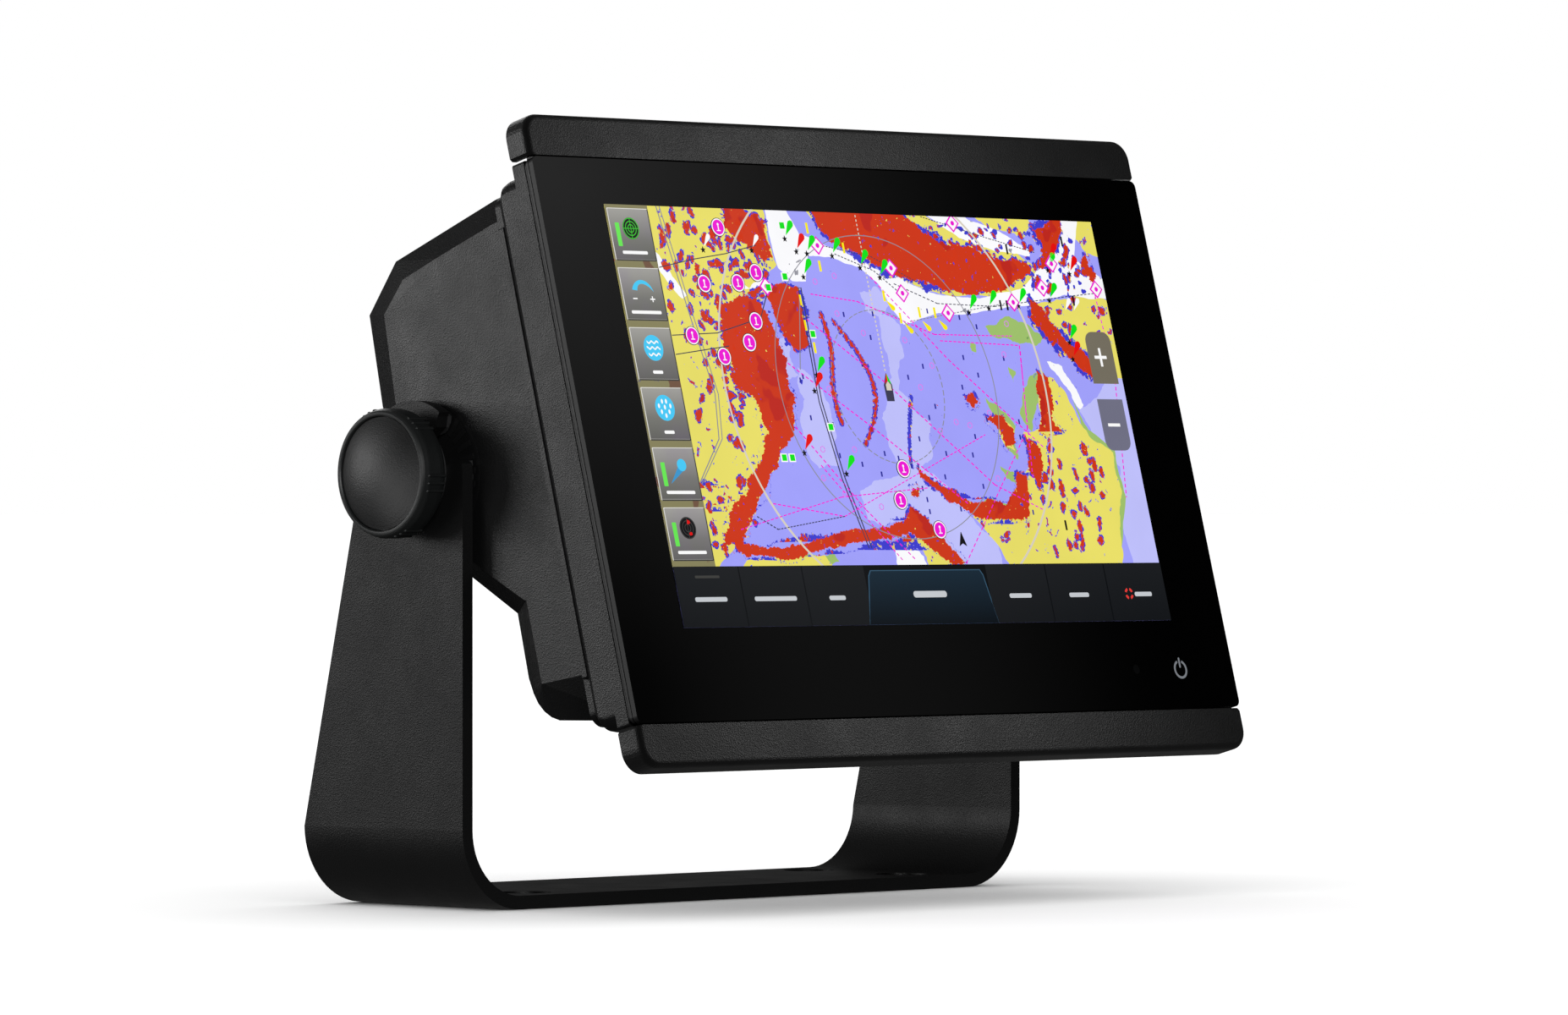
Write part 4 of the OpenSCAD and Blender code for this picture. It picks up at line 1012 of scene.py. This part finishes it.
FLOOR_RADIUS, FLOOR_SIDES = 60.0, 64
floor_angles = [2 * math.pi * i / FLOOR_SIDES for i in range(FLOOR_SIDES)]
floor_mesh = bpy.data.meshes.new('floor')
floor_mesh.from_pydata(
    [(FLOOR_RADIUS * math.cos(a), FLOOR_RADIUS * math.sin(a), 0.0) for a in floor_angles],
    [], [tuple(range(FLOOR_SIDES))])
floor = add_object('floor', floor_mesh)
pale = Shader('floor_pale')
floor_mesh.materials.append(pale.build(
    Base_Color=pale.mix(pale.noise(3.0), (0.86, 0.86, 0.86), (0.87, 0.87, 0.87)),
    Roughness=0.95, Specular_IOR_Level=0.0))
floor.visible_diffuse = False
floor.visible_glossy = False


# ---------------------------------------------------------------- lights
def light_group(name, objects, exclude=True):
    """Collection that tells a light what to skip, or what alone to light."""
    group = bpy.data.collections.new(name)
    for member in objects:
        group.objects.link(member)
    if exclude:
        for entry in group.collection_objects:
            entry.light_linking.link_state = 'EXCLUDE'
    return group


trims = [NODES['top_trim'], NODES['bottom_trim']]
front_face = [floor, NODES['front_glass'], NODES['front_bezel']] + SCREEN_PLATES
knobs = [NODES[name] for name in ('left_knob', 'left_knob_cap', 'right_knob', 'right_knob_cap')]
lit_floor = light_group('lit_floor', [floor], exclude=False)
not_floor = light_group('not_floor', [floor])
not_glass = light_group('not_glass', front_face)
not_glass_not_trim = light_group('not_glass_not_trim', front_face + trims)
not_trims = light_group('not_trims', [floor] + trims)
not_bracket = light_group('not_bracket', [floor, NODES['bracket']])
knobs_only = light_group('knobs_only', knobs, exclude=False)

sun_data = bpy.data.lights.new('floor_sun', 'SUN')
sun_data.energy = 4.0
sun_data.angle = math.radians(165)
sun = add_object('floor_sun', sun_data)
sun.rotation_euler = facing((0.25, 0.05, -1.0))
sun.light_linking.receiver_collection = lit_floor

MIDDLE = (0, 0, 0.12)
GLASS_MIDDLE = (-0.04, -0.08, 0.12)
# name, place, target, width, height (metres), power (watts), what it lights
for name, place, target, width, height, power, receivers in (
        ('key_low', (-0.92, 1.10, 0.32), MIDDLE, 0.8, 0.5, 4.9, not_floor),
        ('back_up', (-0.7, 0.9, 1.1), MIDDLE, 0.6, 0.6, 0.2, not_floor),
        ('left_fill', (-1.35, 0.35, 0.14), MIDDLE, 0.6, 0.25, 0.6, not_floor),
        ('front_near', (0.42, -0.50, 0.78), GLASS_MIDDLE, 0.3, 0.25, 0.15, not_trims),
        ('front_high', (1.15, -1.10, 1.3), (0, -0.05, 0.12), 0.9, 0.6, 0.35, not_floor),
        ('back_right', (0.9, 1.6, 0.9), MIDDLE, 0.9, 0.9, 5, not_bracket),
        ('back_floor', (0.65, 0.85, 0.015), (0.65, 0.85001, 1.0), 1.2, 1.0, 5, not_bracket),
        ('front_low', (-1.6, -1.9, 0.7), (0, 0, 0.1), 0.8, 0.8, 26, not_glass_not_trim),
        ('trim_card', (0.14, -0.227, 0.228), GLASS_MIDDLE, 0.05, 0.25, 0.155, not_glass),
        ('knob_fill', (-0.38, 0.04, 0.03), (-0.14, 0, 0.13), 0.3, 0.2, 0.26, knobs_only)):
    lamp_data = bpy.data.lights.new(name, 'AREA')
    lamp_data.shape = 'RECTANGLE'
    lamp_data.size = width
    lamp_data.size_y = height
    lamp_data.energy = power
    lamp = add_object(name, lamp_data)
    lamp.location = place
    lamp.rotation_euler = facing(Vector(target) - Vector(place))
    lamp.light_linking.receiver_collection = receivers
    lamp.visible_camera = False


def glass_card():
    """Graded card that the glass reflects towards the camera."""
    centre = Vector((1.44, -1.28, 0.82))
    forward = (Vector((0, -0.08, 0.12)) - centre).normalized()
    right = forward.cross(Vector((0, 0, 1))).normalized()
    up = right.cross(forward)
    mesh = bpy.data.meshes.new('glass_card')
    corners = [centre + right * a + up * b
               for a, b in ((-1, -0.8), (1, -0.8), (1, 0.8), (-1, 0.8))]
    mesh.from_pydata([tuple(p) for p in corners], [], [(0, 1, 2, 3)])
    card = add_object('glass_card', mesh)

    s = Shader('card_gradient', surface='ShaderNodeEmission')
    position = s.node('ShaderNodeNewGeometry').outputs['Position']

    def share(direction, at_centre):
        """Runs from 0 to 1 along a direction, with a given value at the card's centre."""
        offset = at_centre - centre.dot(direction)
        return s.math('ADD', s.dot(position, direction), offset, clamp=True)

    # the reflection's course across the glass to the right, and up it, per metre of card
    across = share(right * 3.5469027 - up * 0.73318584, at_centre=0.494)
    upward = share(up * 3.2724359 + right * 1.49294872, at_centre=0.424)
    # brightest at the left, with the lower left darkened
    fade = s.math('POWER', s.math('SUBTRACT', 1.0, across), 1.45)
    base = s.math('MULTIPLY', fade, 0.382)
    depth = s.math('SUBTRACT', 0.95, s.math('MULTIPLY', across, 1.15), clamp=True)
    low = s.math('MULTIPLY', depth, s.math('SUBTRACT', 1.0, s.math('POWER', upward, 1.5)))
    shaded = s.math('MULTIPLY', base, s.math('SUBTRACT', 1.0, low))
    mesh.materials.append(s.build(Strength=s.math('ADD', shaded, 0.006)))
    card.visible_camera = False
    card.visible_diffuse = False
    card.visible_shadow = False


glass_card()

# ---------------------------------------------------------------- world and view
# white to the camera, faint as a light source
world = bpy.data.worlds.new('studio')
bpy.context.scene.world = world
world.use_nodes = True
tree = world.node_tree
background = tree.nodes['Background']
light_path = tree.nodes.new('ShaderNodeLightPath')
strength = tree.nodes.new('ShaderNodeMapRange')
tree.links.new(light_path.outputs['Is Camera Ray'], strength.inputs[0])
strength.inputs['To Min'].default_value = 0.09
strength.inputs['To Max'].default_value = 1.0
tree.links.new(strength.outputs[0], background.inputs[1])
background.inputs[0].default_value = (1, 1, 1, 1)

view = bpy.context.scene.view_settings
view.view_transform = 'Standard'
view.look = 'None'
view.exposure = 0.0
view.gamma = 1.0
